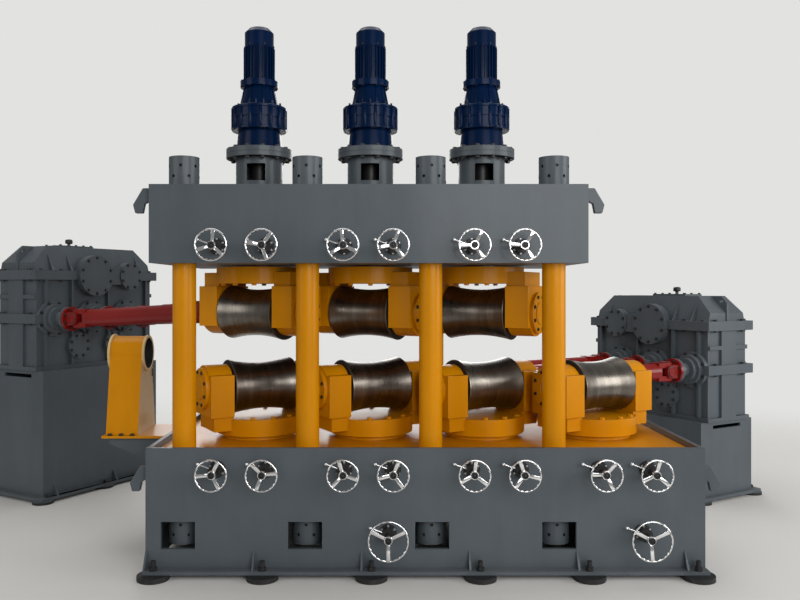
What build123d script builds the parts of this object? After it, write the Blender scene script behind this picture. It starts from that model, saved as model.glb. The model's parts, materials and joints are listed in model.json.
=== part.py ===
from build123d import *
import os
from math import atan2, cos, degrees, radians, sin, sqrt

# Pipe straightening machine with seven skewed rolls, three above and four below.
# Lengths are in millimetres. X runs along the pipe, +Y to the back, +Z up.
# While the pieces are made, X = 0 and Y = 0 are the middle of the four front columns
# and the pipe's axis, and Z = 0 is the floor. The finished model is moved so that the
# middle of its footprint is the origin.

# Stations and pass line
BAY = 795.0                 # from one roll station to the next
SKEW = 30.0                 # angle between each roll's axis and the pipe, degrees
PASS_Z = 1365.5             # height of the pipe's axis
PASS_GAP = 193.0            # between the throats of an upper and a lower roll
UPPER_ROLLS = 3
LOWER_ROLLS = 4

# Rolls
ROLL_LENGTH = 470.0
ROLL_RIM_R = 190.0
ROLL_THROAT_R = 163.0
ROLL_EDGE = 6.0
JOURNAL_R = 62.0
JOURNAL_PLAY = 0.3          # radial clearance of a shaft in its chock
SHAFT_END = -6.0            # how far an idle shaft stands out of its cap

# Yokes: a turning disc with two bearing chocks
CHOCK_GAP = 10.0            # between the barrel and a chock
CHOCK_DEPTH = 165.0         # along the roll's axis
CHOCK_R = 160.0             # the half-round top
CHOCK_HALF = 174.0          # half width over the side pads
CHOCK_LEDGE = 98.0          # top of the side pads, from the roll's axis
CHOCK_FOOT = 36.0           # from the disc's outer face to the chock's foot
FOOT_HALF = 150.0           # half width of the foot, beside the disc
FOOT_SETBACK = 28.0         # the foot stands back from the chock's outer face
FOOT_NECK = 18.0            # gap between the disc and the full-width chock
YOKE_REACH = 320.0          # from the roll's axis to the disc's outer face
DISC_R = 300.0
DISC_T = 115.0
CAP_R = 142.0
CAP_T = 24.0

# Base
BASE_LEFT_MARGIN = 600.0    # from the first lower station to the left end
BASE_RIGHT_MARGIN = 515.0   # from the last lower station to the right end
FRAME_DEPTH = 1450.0        # over the front and rear plates of base and beam
BASE_TOP = 797.0
BASE_WALL = 30.0
DECK_DROP = 40.0            # from the plates' top edge down to the deck
DECK_T = 40.0
SEAT_R = 255.0              # ring that a lower disc turns on
SEAT_BORE = 120.0
TURN_PLAY = 0.3             # between a disc and its seat
FOOT_REACH = 80.0
FOOT_T = 22.0
SHELF_Z = 360.0             # underside of the shelf that the lower nuts pull on
SHELF_T = 40.0
RIB_T = 25.0
RIB_OFFSET = 160.0          # from a station to the ribs each side of it
WINDOW_W = 214.0
WINDOW_H = 171.0
WINDOW_Z = 165.0
GUSSET_T = 12.0
GUSSET_H = 110.0
GUSSET_REACH = 66.0
GUSSET_OFFSET = 62.0        # from a pad's centre to its gusset

# Levelling pads
PAD_COUNT = 6
PAD_FIRST = 66.0            # from the base's end to the first pad
PAD_R = 100.0
PAD_H = 30.0
PAD_Y = 60.0                # from the outer face of the plate to a pad's centre
BOLT_R = 15.0
BOLT_RISE = 62.0            # stands above the foot flange
NUT_FLAT_R = 25.0
NUT_T = 24.0

# Columns and their nuts
COLUMN_R = 75.0
COLUMN_INSET = 165.0        # from the outer face of the plates to a column
REAR_COLUMN_X = 490.0
BORE_PLAY = 1.0
NUT_R = 97.0
NUT_H = 190.0
THREAD_PLAY = 0.3
TOMMY_R = 10.0
TOMMY_DEPTH = 16.0
TOMMY_COUNT = 6
TOMMY_RINGS = (62.0, 128.0)  # heights of the two rings of holes

# Top beam and screw-down
BEAM_HALF = 1375.0
BEAM_H = 494.0
BEAM_WALL = 40.0
BEAM_GAP = 10.0             # between an upper disc and the beam
RAM_R = 110.0
RAM_PLAY = 0.5
RAM_H = 330.0
GUIDE_TUBE_WALL = 30.0

# Motor pedestals and gearmotors
PEDESTAL_R = 164.5
PEDESTAL_WALL = 14.0
PEDESTAL_H = 266.0
PEDESTAL_FOOT_R = 200.0
PEDESTAL_FOOT_T = 20.0
PEDESTAL_WINDOW_W = 128.0
PEDESTAL_WINDOW_H = 117.0
PEDESTAL_WINDOW_Z = 101.0
FLANGE_R = 232.5
FLANGE_T = 34.0
OUTPUT_R = 58.0             # output shaft seen through the pedestal's window
OUTPUT_L = 240.0
REDUCER_LOW_R = 160.0
REDUCER_R = 149.0
REDUCER_H = 133.0
RING_R = 186.0
RING_H = 164.0
RING_SPLIT = 8.0
TAPER_LOW_R = 135.0
TAPER_TOP_R = 107.0
TAPER_H = 136.0
MOTOR_FLANGE_R = 134.0
MOTOR_FLANGE_T = 43.0
MOTOR_GAP = 11.0
MOTOR_R = 98.0
FIN_R = 111.0
FIN_T = 6.0
FIN_COUNT = 24
MOTOR_H = 239.0
COWL_R = 102.5
COWL_H = 108.0
COWL_DOME = 32.0
TERMINAL_W = 110.0
TERMINAL_H = 90.0
TERMINAL_REACH = 148.0
TERMINAL_MID = 108.0        # its middle above the motor's foot

# Handwheels
WHEEL_R = 100.0
BIG_WHEEL_R = 125.0
RIM_TUBE_R = 6.5
RIM_SIDES = 8
SPOKE_W = 20.0
SPOKE_T = 8.0
SPOKE_COUNT = 3
HUB_R = 21.0
HUB_L = 44.0
SPINDLE_GAP = 0.3
WHEEL_REACH = 190.0         # from the plate to the wheel's rim
WHEEL_DISH = 22.0           # the rim stands ahead of the hub's back face
WHEEL_PITCH = 152.0         # of a pair, each side of the station
BEAM_WHEEL_Z = 2058.0
BASE_WHEEL_Z = 667.0
BIG_WHEEL_Z = 272.0
BIG_WHEEL_X = 122.0         # from stations two and four
BEAM_WHEEL_TURNS = ((80.0, 50.0), (95.0, 70.0), (63.0, 58.0))  # resting turn of each pair, degrees
BASE_WHEEL_TURNS = ((62.0, 10.0), (105.0, 70.0), (85.0, 110.0), (55.0, 80.0))
BIG_WHEEL_TURN = 30.0
BOSS_R = 52.0
BOSS_T = 18.0
COUNTER_R = 41.0            # dial housing between the boss and the spindle's sleeve
COUNTER_L = 62.0
SLEEVE_R = 19.0
LEVER_R = 5.0               # clamp lever on the dial housing
LEVER_L = 118.0
LEVER_TURN = 160.0          # from the right, seen from the front
LEVER_KNOB_R = 11.0

# Lifting hooks
HOOK_T = 40.0
HOOK_INSET = 60.0           # from the plates' outer faces
HOOK_REACH = 112.0
HOOK_H = 158.0
HOOK_W = 62.0
HOOK_ROOT = 80.0            # height where it is welded on
HOOK_THROAT = 98.0          # from the top down to the throat
HOOK_BEND = 105.0           # from the top down to the outer corner
HOOK_TIP_IN = 14.0          # the tip leans back by this
HOOK_ROUND = 12.0
BEAM_HOOK_DROP = 21.0       # from the beam's top to its hooks
BASE_HOOK_TOP = 674.0

# Entry guide
GUIDE_X = 1600.0            # its inner end, left of X = 0
GUIDE_LENGTH = 222.0
GUIDE_Z = 1334.0
GUIDE_R = 122.0
GUIDE_BORE_R = 108.0
GUIDE_FOOT_HALF = 210.0
GUIDE_RING_R = 136.0
GUIDE_RING_T = 16.0
GUIDE_PLATE_T = 18.0
GUIDE_PLATE_DROP = 13.0     # below the base's top edge
GUIDE_PLATE_HALF = 240.0
GUIDE_PLATE_MARGIN = 20.0
BRACKET_H = 205.0
BRACKET_T = 20.0
BRACKET_HALF = 195.0
BRACKET_TIP = 40.0

# Drives: two gearboxes on pedestals with three shafts each
LEFT_FACE = 2265.0          # gearbox face from upper roll one, along its axis
RIGHT_FACE = 2260.0         # gearbox face from lower roll three, along its axis
LEFT_CASE_Z = 1100.0
RIGHT_CASE_Z = 666.0
CASE_OUTPUT_H = 440.0       # output shafts above the case's underside
CASE_NEAR = 142.0           # from the nearest shaft to the case's end
CASE_FAR = 330.0            # from the farthest shaft to the other end
CASE_THICK = 490.0
CASE_H = 1065.0
CASE_CUT_X = 150.0
CASE_CUT_Z = 145.0
CASE_TOP_INSET = 70.0
PARTING_H = 80.0
PARTING_REACH = 45.0
UPPER_PARTING = 812.0       # middle of the upper parting flange
CASE_FOOT_T = 34.0
COVER_R = 182.0
SMALL_COVER_R = 127.0
COVER_AT = 425.0            # from the nearest shaft to the large cover
COVER_T = 34.0
COVER_LINK_H = 160.0        # plate that joins the two covers
COVER_LINK_T = 20.0
LOW_COVER_R = 112.0
LOW_COVER_AT = 263.0        # from the nearest shaft to the first low cover
LOW_COVER_Z = 194.0
LOW_COVER_T = 48.0
END_PAD_W = 190.0           # upright pad on each end of the case
END_PAD_REACH = 22.0
FIN_PLATE_T = 24.0          # lifting fin on each end slope
FIN_PLATE_OUT = 10.0
FIN_PLATE_DROP = 60.0
FIN_HOLE_R = 16.0
FIN_HOLE_IN = 45.0
TOP_COVER_AT = (200.0, 560.0)
TOP_COVER_W = 220.0
TOP_COVER_T = 16.0
SLOPE_RIB_T = 16.0
SLOPE_RIB_REACH = 30.0
CASE_RIB_T = 22.0
CASE_RIB_REACH = 34.0
HUB_STEPS = ((150.0, 42.0), (124.0, 84.0), (98.0, 120.0))  # radius and reach of each step
HUB_SHAFT_R = 58.0
HUB_STANDOFF = 96.0         # bare shaft between housing and coupling
DRIVE_WALL = 20.0
DRIVE_MARGIN = 85.0         # the pedestal is deeper than the case, front and back
DRIVE_SLOT_W = 360.0
DRIVE_SLOT_H = 30.0
DRIVE_GUSSET_T = 14.0
DRIVE_GUSSET_H = 95.0
DRIVE_GUSSET_OFFSET = 110.0  # from a pad's centre to its gusset
DRIVE_FOOT = 55.0
DRIVE_FOOT_T = 26.0
DRIVE_PAD_H = 22.0
DRIVE_PAD_R = 85.0
DRIVE_TOP_T = 30.0

# Cardan shafts
COUPLING_R = 102.0
COUPLING_T = 24.0
JOINT_L = 105.0             # from a flange's face to the cross
EAR_T = 40.0
EAR_R = 54.0
EAR_SPREAD = 74.0           # outer face of an ear from the axis
CROSS_R = 33.0
CARDAN_TUBE_R = 70.0
CARDAN_SLEEVE_R = 74.0
CARDAN_SLEEVE_L = 210.0
NECK_L = 80.0
ROLL_END_GAP = 16.0         # left open where the shaft meets the roll
HUB_END_GAP = 0.3
SPIGOT_R = 34.0             # centring spigot that bridges the open end
SPIGOT_TIP = 8.0
SPIGOT_NOSE = 8.0           # height of its coned nose
SPIGOT_GAP = 0.9

# Worked-out heights and places
LOWER_AXIS_Z = PASS_Z - PASS_GAP / 2 - ROLL_THROAT_R
UPPER_AXIS_Z = PASS_Z + PASS_GAP / 2 + ROLL_THROAT_R
DECK_Z = BASE_TOP - DECK_DROP
SEAT_Z = LOWER_AXIS_Z - YOKE_REACH - TURN_PLAY
BEAM_Z = UPPER_AXIS_Z + YOKE_REACH + BEAM_GAP
BEAM_TOP = BEAM_Z + BEAM_H
FACE_Y = FRAME_DEPTH / 2
COLUMN_Y = FACE_Y - COLUMN_INSET
BASE_LEFT = BAY + BASE_LEFT_MARGIN
BASE_LENGTH = BASE_LEFT + (LOWER_ROLLS - 2) * BAY + BASE_RIGHT_MARGIN
CHOCK_INNER = ROLL_LENGTH / 2 + CHOCK_GAP
CHOCK_OUTER = CHOCK_INNER + CHOCK_DEPTH
CAP_FACE = CHOCK_OUTER + CAP_T
FOOT_LOW = CHOCK_FOOT - YOKE_REACH
FOOT_TOP = DISC_T + FOOT_NECK - YOKE_REACH
COUPLING_FACE = CAP_FACE + CHOCK_GAP + COUPLING_T
LOWER_X = [(i - 1) * BAY for i in range(LOWER_ROLLS)]
UPPER_X = [(i - 1) * BAY for i in range(UPPER_ROLLS)]
FRONT_COLUMN_X = [(i - 1.5) * BAY for i in range(4)]
COLUMNS = [(x, -COLUMN_Y) for x in FRONT_COLUMN_X] + [(x, COLUMN_Y) for x in (-REAR_COLUMN_X, REAR_COLUMN_X)]
WINDOWS = [(x, -1) for x in FRONT_COLUMN_X] + [(x, 1) for x in (-REAR_COLUMN_X, REAR_COLUMN_X)]

BOTTOM = (Align.CENTER, Align.CENTER, Align.MIN)


def block(x, y, z):
    """A box between two values along each axis, each given as a pair."""
    size = [b - a for a, b in (x, y, z)]
    return Pos(x[0], y[0], z[0]) * Box(*size, align=(Align.MIN, Align.MIN, Align.MIN))


def disc(radius, low, high, at=(0, 0)):
    """An upright cylinder between two heights."""
    return Pos(at[0], at[1], low) * Cylinder(radius, high - low, align=BOTTOM)


def along_x(solid):
    """Turns a shape made along +Z so that it lies along +X."""
    return Rot(0, 90, 0) * solid


def rod_x(radius, low, high):
    """A cylinder along X between two values."""
    return along_x(disc(radius, low, high))


def towards_front(solid):
    """Turns a shape made along +Z so that it points along -Y."""
    return Rot(90, 0, 0) * solid


def span(middle, width):
    """The two ends of a width about its middle."""
    return middle - width / 2, middle + width / 2


def face_on(plane, *lines):
    """A flat face whose closed outline is drawn in a plane's own X and Y."""
    return make_face([plane * edge for line in lines for edge in line.edges()])


def plate_on(plane, points, thick):
    """A flat plate with a closed outline of points, half of it on each side of a plane."""
    return extrude(face_on(plane, Polyline(*points, close=True)), thick / 2, both=True)



def joined(pieces):
    """Fuses touching or overlapping pieces into one solid."""
    first, *rest = pieces
    return first.fuse(*rest).clean() if rest else first


def turned(*lines):
    """Revolves a closed outline of radius and height about Z."""
    return revolve(face_on(Plane.XZ, *lines), Axis.Z)


def roll(driven_side):
    """A roll lying along X, with a hollow barrel outline and a shaft through both chocks.

    driven_side is +1 or -1 for the end with the coupling, or 0 for an idle roll.
    """
    half = ROLL_LENGTH / 2
    edge = ROLL_RIM_R - ROLL_EDGE
    left_rim, right_rim = (ROLL_RIM_R, -half + ROLL_EDGE), (ROLL_RIM_R, half - ROLL_EDGE)
    waist = ThreePointArc(left_rim, (ROLL_THROAT_R, 0), right_rim)
    ends = Polyline(right_rim, (edge, half), (0, half), (0, -half), (edge, -half), left_rim)
    barrel = turned(waist, ends)
    shaft = rod_x(JOURNAL_R, -CAP_FACE - SHAFT_END, CAP_FACE + SHAFT_END)
    pieces = [along_x(barrel), shaft]
    if driven_side:
        flange = rod_x(COUPLING_R, COUPLING_FACE - COUPLING_T, COUPLING_FACE)
        shaft = rod_x(JOURNAL_R, -CAP_FACE - SHAFT_END, COUPLING_FACE - COUPLING_T)
        pieces = [along_x(barrel), shaft, flange]
    solid = joined(pieces)
    return mirror(solid, about=Plane.YZ) if driven_side < 0 else solid


def chock_outline():
    """The end view of a chock: half-round top, side pads with a ledge, stepped-in foot."""
    ledge = sqrt(CHOCK_R ** 2 - CHOCK_LEDGE ** 2)
    top = ThreePointArc((ledge, CHOCK_LEDGE), (0, CHOCK_R), (-ledge, CHOCK_LEDGE))
    sides = Polyline((-ledge, CHOCK_LEDGE), (-CHOCK_HALF, CHOCK_LEDGE), (-CHOCK_HALF, FOOT_TOP),
                     (-FOOT_HALF, FOOT_TOP), (-FOOT_HALF, FOOT_LOW), (FOOT_HALF, FOOT_LOW),
                     (FOOT_HALF, FOOT_TOP),
                     (CHOCK_HALF, FOOT_TOP), (CHOCK_HALF, CHOCK_LEDGE), (ledge, CHOCK_LEDGE))
    return face_on(Plane.YZ, top, sides)


def yoke():
    """A yoke with the roll's axis along X through the origin and its disc below."""
    pieces = [disc(DISC_R, -YOKE_REACH, -YOKE_REACH + DISC_T)]
    for side in (-1, 1):
        chock = Pos(CHOCK_INNER if side > 0 else -CHOCK_OUTER, 0, 0) * extrude(chock_outline(), CHOCK_DEPTH)
        chock -= block(sorted((side * (CHOCK_OUTER - FOOT_SETBACK), side * CHOCK_OUTER)),
                       (-CHOCK_HALF, CHOCK_HALF), (FOOT_LOW, FOOT_TOP))
        cap = rod_x(CAP_R, *sorted((side * CHOCK_OUTER, side * CAP_FACE)))
        pieces += [chock, cap]
    return joined(pieces) - rod_x(JOURNAL_R + JOURNAL_PLAY, -CAP_FACE - 1, CAP_FACE + 1)


def place_lower(solid, x):
    """Sets a yoke or roll at a lower station."""
    return Pos(x, 0, LOWER_AXIS_Z) * Rot(0, 0, SKEW) * solid


def place_upper(solid, x):
    """Sets a yoke or roll upside down at an upper station."""
    return Pos(x, 0, UPPER_AXIS_Z) * Rot(0, 0, -SKEW) * Rot(180, 0, 0) * solid


def base_plate(side):
    """The front (-1) or rear (+1) plate of the base, with windows, foot flange and gussets."""
    x0, x1 = -BASE_LEFT, BASE_LENGTH - BASE_LEFT
    outer, inner = side * FACE_Y, side * (FACE_Y - BASE_WALL)
    plate = block((x0, x1), sorted((outer, inner)), (PAD_H, BASE_TOP))
    reach = side * (FACE_Y + FOOT_REACH)
    pieces = [plate, block((x0, x1), sorted((outer, reach)), (PAD_H, PAD_H + FOOT_T))]
    top = PAD_H + FOOT_T
    for x in pad_places():
        at = max(x - GUSSET_OFFSET, x0 + GUSSET_T / 2)
        corners = [(outer, top), (outer + side * GUSSET_REACH, top), (outer, top + GUSSET_H)]
        face = face_on(Plane.YZ, Polyline(*corners, close=True))
        pieces.append(Pos(at - GUSSET_T / 2, 0, 0) * extrude(face, GUSSET_T, dir=(1, 0, 0)))
    solid = joined(pieces)
    for x, window_side in WINDOWS:
        if window_side == side:
            solid -= block((x - WINDOW_W / 2, x + WINDOW_W / 2), sorted((inner - side, outer + side)),
                           (WINDOW_Z, WINDOW_Z + WINDOW_H))
    for x in pad_places():
        solid -= disc(BOLT_R + BORE_PLAY, 0, PAD_H + 2 * FOOT_T, (x, side * (FACE_Y + PAD_Y)))
    return solid


def pad_places():
    """X of the levelling pads along one side of the base."""
    span = BASE_LENGTH - 2 * PAD_FIRST
    return [-BASE_LEFT + PAD_FIRST + i * span / (PAD_COUNT - 1) for i in range(PAD_COUNT)]


def base_end_plates():
    """The two end plates of the base, between its front and rear plates."""
    inside = FACE_Y - BASE_WALL
    left, right = -BASE_LEFT, BASE_LENGTH - BASE_LEFT
    return [block((left, left + BASE_WALL), (-inside, inside), (PAD_H, BASE_TOP)),
            block((right - BASE_WALL, right), (-inside, inside), (PAD_H, BASE_TOP))]


def base_deck():
    """The sunk deck with a raised seat ring under each lower yoke."""
    inside = FACE_Y - BASE_WALL
    left, right = BASE_WALL - BASE_LEFT, BASE_LENGTH - BASE_LEFT - BASE_WALL
    deck = block((left, right), (-inside, inside), (DECK_Z - DECK_T, DECK_Z))
    for x in LOWER_X:
        deck += disc(SEAT_R, DECK_Z, SEAT_Z, (x, 0))
    for x in LOWER_X:
        deck -= disc(SEAT_BORE, DECK_Z - DECK_T, SEAT_Z, (x, 0))
    for at in COLUMNS:
        deck -= disc(COLUMN_R + BORE_PLAY, DECK_Z - DECK_T, DECK_Z, at)
    return deck


def base_stiffeners():
    """The shelf inside the base that the lower nuts pull on, and its cross ribs."""
    inside = FACE_Y - BASE_WALL
    left, right = BASE_WALL - BASE_LEFT, BASE_LENGTH - BASE_LEFT - BASE_WALL
    pieces = [block((left, right), (-inside, inside), (SHELF_Z, SHELF_Z + SHELF_T))]
    for x in [x + side * RIB_OFFSET for x in LOWER_X for side in (-1, 1)]:
        pieces.append(block(span(x, RIB_T), (-inside, inside), (SHELF_Z + SHELF_T, DECK_Z - DECK_T)))
    solid = joined(pieces)
    for at in COLUMNS:
        solid -= disc(COLUMN_R + BORE_PLAY, SHELF_Z, SHELF_Z + SHELF_T, at)
    return solid


def levelling_pads():
    """Round pads on the floor, each with its levelling bolt and nut through the foot flange."""
    foot_top = PAD_H + FOOT_T
    pads = []
    for x in pad_places():
        for side in (-1, 1):
            at = (x, side * (FACE_Y + PAD_Y))
            nut = extrude(RegularPolygon(NUT_FLAT_R, 6), NUT_T)
            pads.append(joined([disc(PAD_R, 0, PAD_H, at), disc(BOLT_R, PAD_H, foot_top + BOLT_RISE, at),
                                Pos(*at, foot_top) * nut]))
    return pads


def column_nut(low):
    """A round nut with two staggered rings of tommy-bar holes."""
    nut = disc(NUT_R, low, low + NUT_H) - disc(COLUMN_R + THREAD_PLAY, low, low + NUT_H)
    for ring, height in enumerate(TOMMY_RINGS):
        for i in range(TOMMY_COUNT):
            angle = (i + 0.5 * ring) * 360 / TOMMY_COUNT
            hole = rod_x(TOMMY_R, NUT_R - TOMMY_DEPTH, NUT_R + 1)
            nut -= Pos(0, 0, low + height) * Rot(0, 0, angle) * hole
    return nut


def column_nuts():
    """One nut above the beam and one below the shelf on each column."""
    nuts = [column_nut(BEAM_TOP), column_nut(SHELF_Z - NUT_H)]
    return [Pos(x, y, 0) * nut for x, y in COLUMNS for nut in nuts]


def columns():
    """The round columns that tie the beam to the base."""
    return [disc(COLUMN_R, SHELF_Z - NUT_H, BEAM_TOP + NUT_H, at) for at in COLUMNS]


def top_beam():
    """The welded box beam, hollow, with guide tubes for the rams and bores for the columns."""
    inner_x, inner_y = BEAM_HALF - BEAM_WALL, FACE_Y - BEAM_WALL
    beam = block((-BEAM_HALF, BEAM_HALF), (-FACE_Y, FACE_Y), (BEAM_Z, BEAM_TOP))
    beam -= block((-inner_x, inner_x), (-inner_y, inner_y), (BEAM_Z + BEAM_WALL, BEAM_TOP - BEAM_WALL))
    for x in UPPER_X:
        beam += disc(RAM_R + RAM_PLAY + GUIDE_TUBE_WALL, BEAM_Z + BEAM_WALL, BEAM_TOP - BEAM_WALL, (x, 0))
    for x in UPPER_X:
        beam -= disc(RAM_R + RAM_PLAY, BEAM_Z, BEAM_TOP, (x, 0))
    for at in COLUMNS:
        beam -= disc(COLUMN_R + BORE_PLAY, BEAM_Z, BEAM_TOP, at)
    return beam


def ram():
    """A screw-down ram: a plain cylinder that carries an upper yoke, foot at the origin."""
    return disc(RAM_R, 0, RAM_H)


def hook():
    """A lifting hook plate in the XZ plane, pointing to +X and bent down, top at the origin."""
    lip = HOOK_REACH - HOOK_W
    outside = [(0, 0), (lip, 0), (HOOK_REACH, -HOOK_BEND), (HOOK_REACH - HOOK_TIP_IN, -HOOK_H)]
    inside = [(lip, -HOOK_H), (lip - HOOK_ROUND, -HOOK_THROAT), (0, -HOOK_ROOT)]
    plate = plate_on(Plane.XZ, outside + inside, HOOK_T)
    return fillet(plate.edges().filter_by(Axis.Y).group_by(Axis.X)[-1], HOOK_ROUND)


def lifting_hooks():
    """Four hooks on the beam's ends and four on the base's ends."""
    hooks = []
    for top, left, right in ((BEAM_TOP - BEAM_HOOK_DROP, -BEAM_HALF, BEAM_HALF),
                             (BASE_HOOK_TOP, -BASE_LEFT, BASE_LENGTH - BASE_LEFT)):
        for side in (-1, 1):
            y = side * (FACE_Y - HOOK_INSET)
            hooks.append(Pos(right, y, top) * hook())
            hooks.append(Pos(left, y, top) * Rot(0, 0, 180) * hook())
    return hooks


def motor_pedestal():
    """The tube that carries a gearmotor, with a square front window and a flange at each end."""
    tube = disc(PEDESTAL_R, 0, PEDESTAL_H) + disc(PEDESTAL_FOOT_R, 0, PEDESTAL_FOOT_T)
    tube += disc(FLANGE_R, PEDESTAL_H, PEDESTAL_H + FLANGE_T)
    tube -= disc(PEDESTAL_R - PEDESTAL_WALL, 0, PEDESTAL_H + FLANGE_T)
    window = (PEDESTAL_WINDOW_Z, PEDESTAL_WINDOW_Z + PEDESTAL_WINDOW_H)
    return tube - block(span(0, PEDESTAL_WINDOW_W), (-PEDESTAL_R - 1, 0), window)


def gearmotor():
    """A reducer and motor from its mounting flange up, with its output shaft below."""
    z_low = FLANGE_T
    z_ring = z_low + REDUCER_H
    z_taper = z_ring + RING_H
    z_flange = z_taper + TAPER_H + MOTOR_GAP
    z_motor = z_flange + MOTOR_FLANGE_T
    z_cowl = z_motor + MOTOR_H
    z_dome = z_cowl + COWL_H
    groove_r = RING_R - RING_SPLIT
    groove_low, groove_top = span(z_ring + RING_H / 2, RING_SPLIT)
    shaft = [(0, -OUTPUT_L), (OUTPUT_R, -OUTPUT_L), (OUTPUT_R, 0)]
    reducer = [(FLANGE_R, 0), (FLANGE_R, z_low), (REDUCER_LOW_R, z_low), (REDUCER_R, z_ring)]
    ring = [(RING_R, z_ring), (RING_R, groove_low), (groove_r, groove_low), (groove_r, groove_top),
            (RING_R, groove_top), (RING_R, z_taper)]
    adapter = [(TAPER_LOW_R, z_taper), (TAPER_TOP_R, z_flange - MOTOR_GAP), (TAPER_TOP_R, z_flange)]
    motor = [(MOTOR_FLANGE_R, z_flange), (MOTOR_FLANGE_R, z_motor), (MOTOR_R, z_motor), (MOTOR_R, z_cowl)]
    cowl = [(COWL_R, z_cowl), (COWL_R, z_dome), (COWL_R - COWL_DOME, z_dome + COWL_DOME),
            (0, z_dome + COWL_DOME)]
    pieces = [turned(Polyline(*shaft, *reducer, *ring, *adapter, *motor, *cowl, close=True))]
    for i in range(FIN_COUNT):
        fin = block((MOTOR_R - FIN_T, FIN_R), (-FIN_T / 2, FIN_T / 2), (z_motor, z_cowl))
        pieces.append(Rot(0, 0, (i + 0.5) * 360 / FIN_COUNT) * fin)
    pieces.append(block(span(0, TERMINAL_W), (0, TERMINAL_REACH), span(z_motor + TERMINAL_MID, TERMINAL_H)))
    return joined(pieces)


def handwheel(radius):
    """A dished three-spoke handwheel facing -Y, its hub's back face at the origin and one
    spoke to the right."""
    rim_r = radius - RIM_TUBE_R
    middle = HUB_L / 2
    section = Pos(rim_r, 0, WHEEL_DISH + middle) * Rot(90, 0, 0) * RegularPolygon(RIM_TUBE_R, RIM_SIDES)
    pieces = [revolve(section, Axis.Z), disc(HUB_R, 0, HUB_L)]
    slope = degrees(atan2(WHEEL_DISH, rim_r - HUB_R / 2))
    length = (rim_r - HUB_R / 2) / cos(radians(slope))
    for i in range(SPOKE_COUNT):
        spoke = block((0, length), (-SPOKE_W / 2, SPOKE_W / 2), (-SPOKE_T / 2, SPOKE_T / 2))
        spoke = Pos(HUB_R / 2, 0, middle) * Rot(0, -slope, 0) * spoke
        pieces.append(Rot(0, 0, i * 360 / SPOKE_COUNT) * spoke)
    return towards_front(joined(pieces))


def wheel_boss():
    """The bolted flange, dial housing, clamp lever and sleeve behind a handwheel, facing -Y."""
    length = WHEEL_REACH - WHEEL_DISH - HUB_L / 2 - SPINDLE_GAP
    lever = disc(LEVER_R, COUNTER_R / 2, LEVER_L) + Pos(0, 0, LEVER_L) * Sphere(LEVER_KNOB_R)
    lever = Pos(0, 0, BOSS_T + COUNTER_L / 2) * Rot(0, 0, LEVER_TURN) * along_x(lever)
    return towards_front(joined([disc(BOSS_R, 0, BOSS_T), disc(COUNTER_R, BOSS_T, BOSS_T + COUNTER_L),
                                 disc(SLEEVE_R, BOSS_T, length), lever]))


def wheel_places():
    """Name, radius, X, height and resting turn of each handwheel on the front."""
    places = []
    for i, (x, turns) in enumerate(zip(UPPER_X, BEAM_WHEEL_TURNS), 1):
        for side, letter, turn in ((-1, "a", turns[0]), (1, "b", turns[1])):
            name = f"beam_handwheel_{i}{letter}"
            places.append((name, WHEEL_R, x + side * WHEEL_PITCH, BEAM_WHEEL_Z, turn))
    for i, (x, turns) in enumerate(zip(LOWER_X, BASE_WHEEL_TURNS), 1):
        for side, letter, turn in ((-1, "a", turns[0]), (1, "b", turns[1])):
            name = f"base_handwheel_{i}{letter}"
            places.append((name, WHEEL_R, x + side * WHEEL_PITCH, BASE_WHEEL_Z, turn))
    for i in (2, 4):
        x = LOWER_X[i - 1] + BIG_WHEEL_X
        places.append((f"lift_handwheel_{i}", BIG_WHEEL_R, x, BIG_WHEEL_Z, BIG_WHEEL_TURN))
    return places


def guide_outline():
    """The entry guide's end view: a round top on sides that spread towards the foot."""
    radius, half = GUIDE_R, GUIDE_FOOT_HALF
    foot = BASE_TOP - GUIDE_PLATE_DROP
    drop = GUIDE_Z - foot
    lean = atan2(drop, half) + atan2(radius, sqrt(half ** 2 + drop ** 2 - radius ** 2))
    touch = (abs(radius * sin(lean)), GUIDE_Z - radius * cos(lean))
    top = ThreePointArc(touch, (0, GUIDE_Z + radius), (-touch[0], touch[1]))
    sides = Polyline((-touch[0], touch[1]), (-half, foot), (half, foot), touch)
    return face_on(Plane.YZ, top, sides)


def guide_hood():
    """The entry guide: a short tube on a folded box, with a ring round each mouth."""
    x0, x1 = -GUIDE_X - GUIDE_LENGTH, -GUIDE_X
    hood = Pos(x0, 0, 0) * extrude(guide_outline(), GUIDE_LENGTH, dir=(1, 0, 0))
    hood += Pos(0, 0, GUIDE_Z) * rod_x(GUIDE_RING_R, x0 - GUIDE_RING_T, x0)
    hood += Pos(0, 0, GUIDE_Z) * rod_x(GUIDE_RING_R - GUIDE_RING_T / 2, x1, x1 + GUIDE_RING_T)
    return hood - Pos(0, 0, GUIDE_Z) * rod_x(GUIDE_BORE_R, x0 - 2 * GUIDE_RING_T, x1 + 2 * GUIDE_RING_T)


def guide_bracket():
    """The plate under the entry guide and the triangular bracket that holds it off the base."""
    top = BASE_TOP - GUIDE_PLATE_DROP
    left = -GUIDE_X - GUIDE_LENGTH - GUIDE_PLATE_MARGIN
    low = top - GUIDE_PLATE_T
    pieces = [block((left, -BASE_LEFT), (-GUIDE_PLATE_HALF, GUIDE_PLATE_HALF), (low, top))]
    corners = [(-BASE_LEFT, low), (left + BRACKET_TIP, low), (left + BRACKET_TIP, low - BRACKET_TIP),
               (-BASE_LEFT, low - BRACKET_H)]
    side = plate_on(Plane.XZ, corners, BRACKET_T)
    pieces += [Pos(0, y, 0) * side for y in (-BRACKET_HALF, BRACKET_HALF)]
    return joined(pieces)


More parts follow.
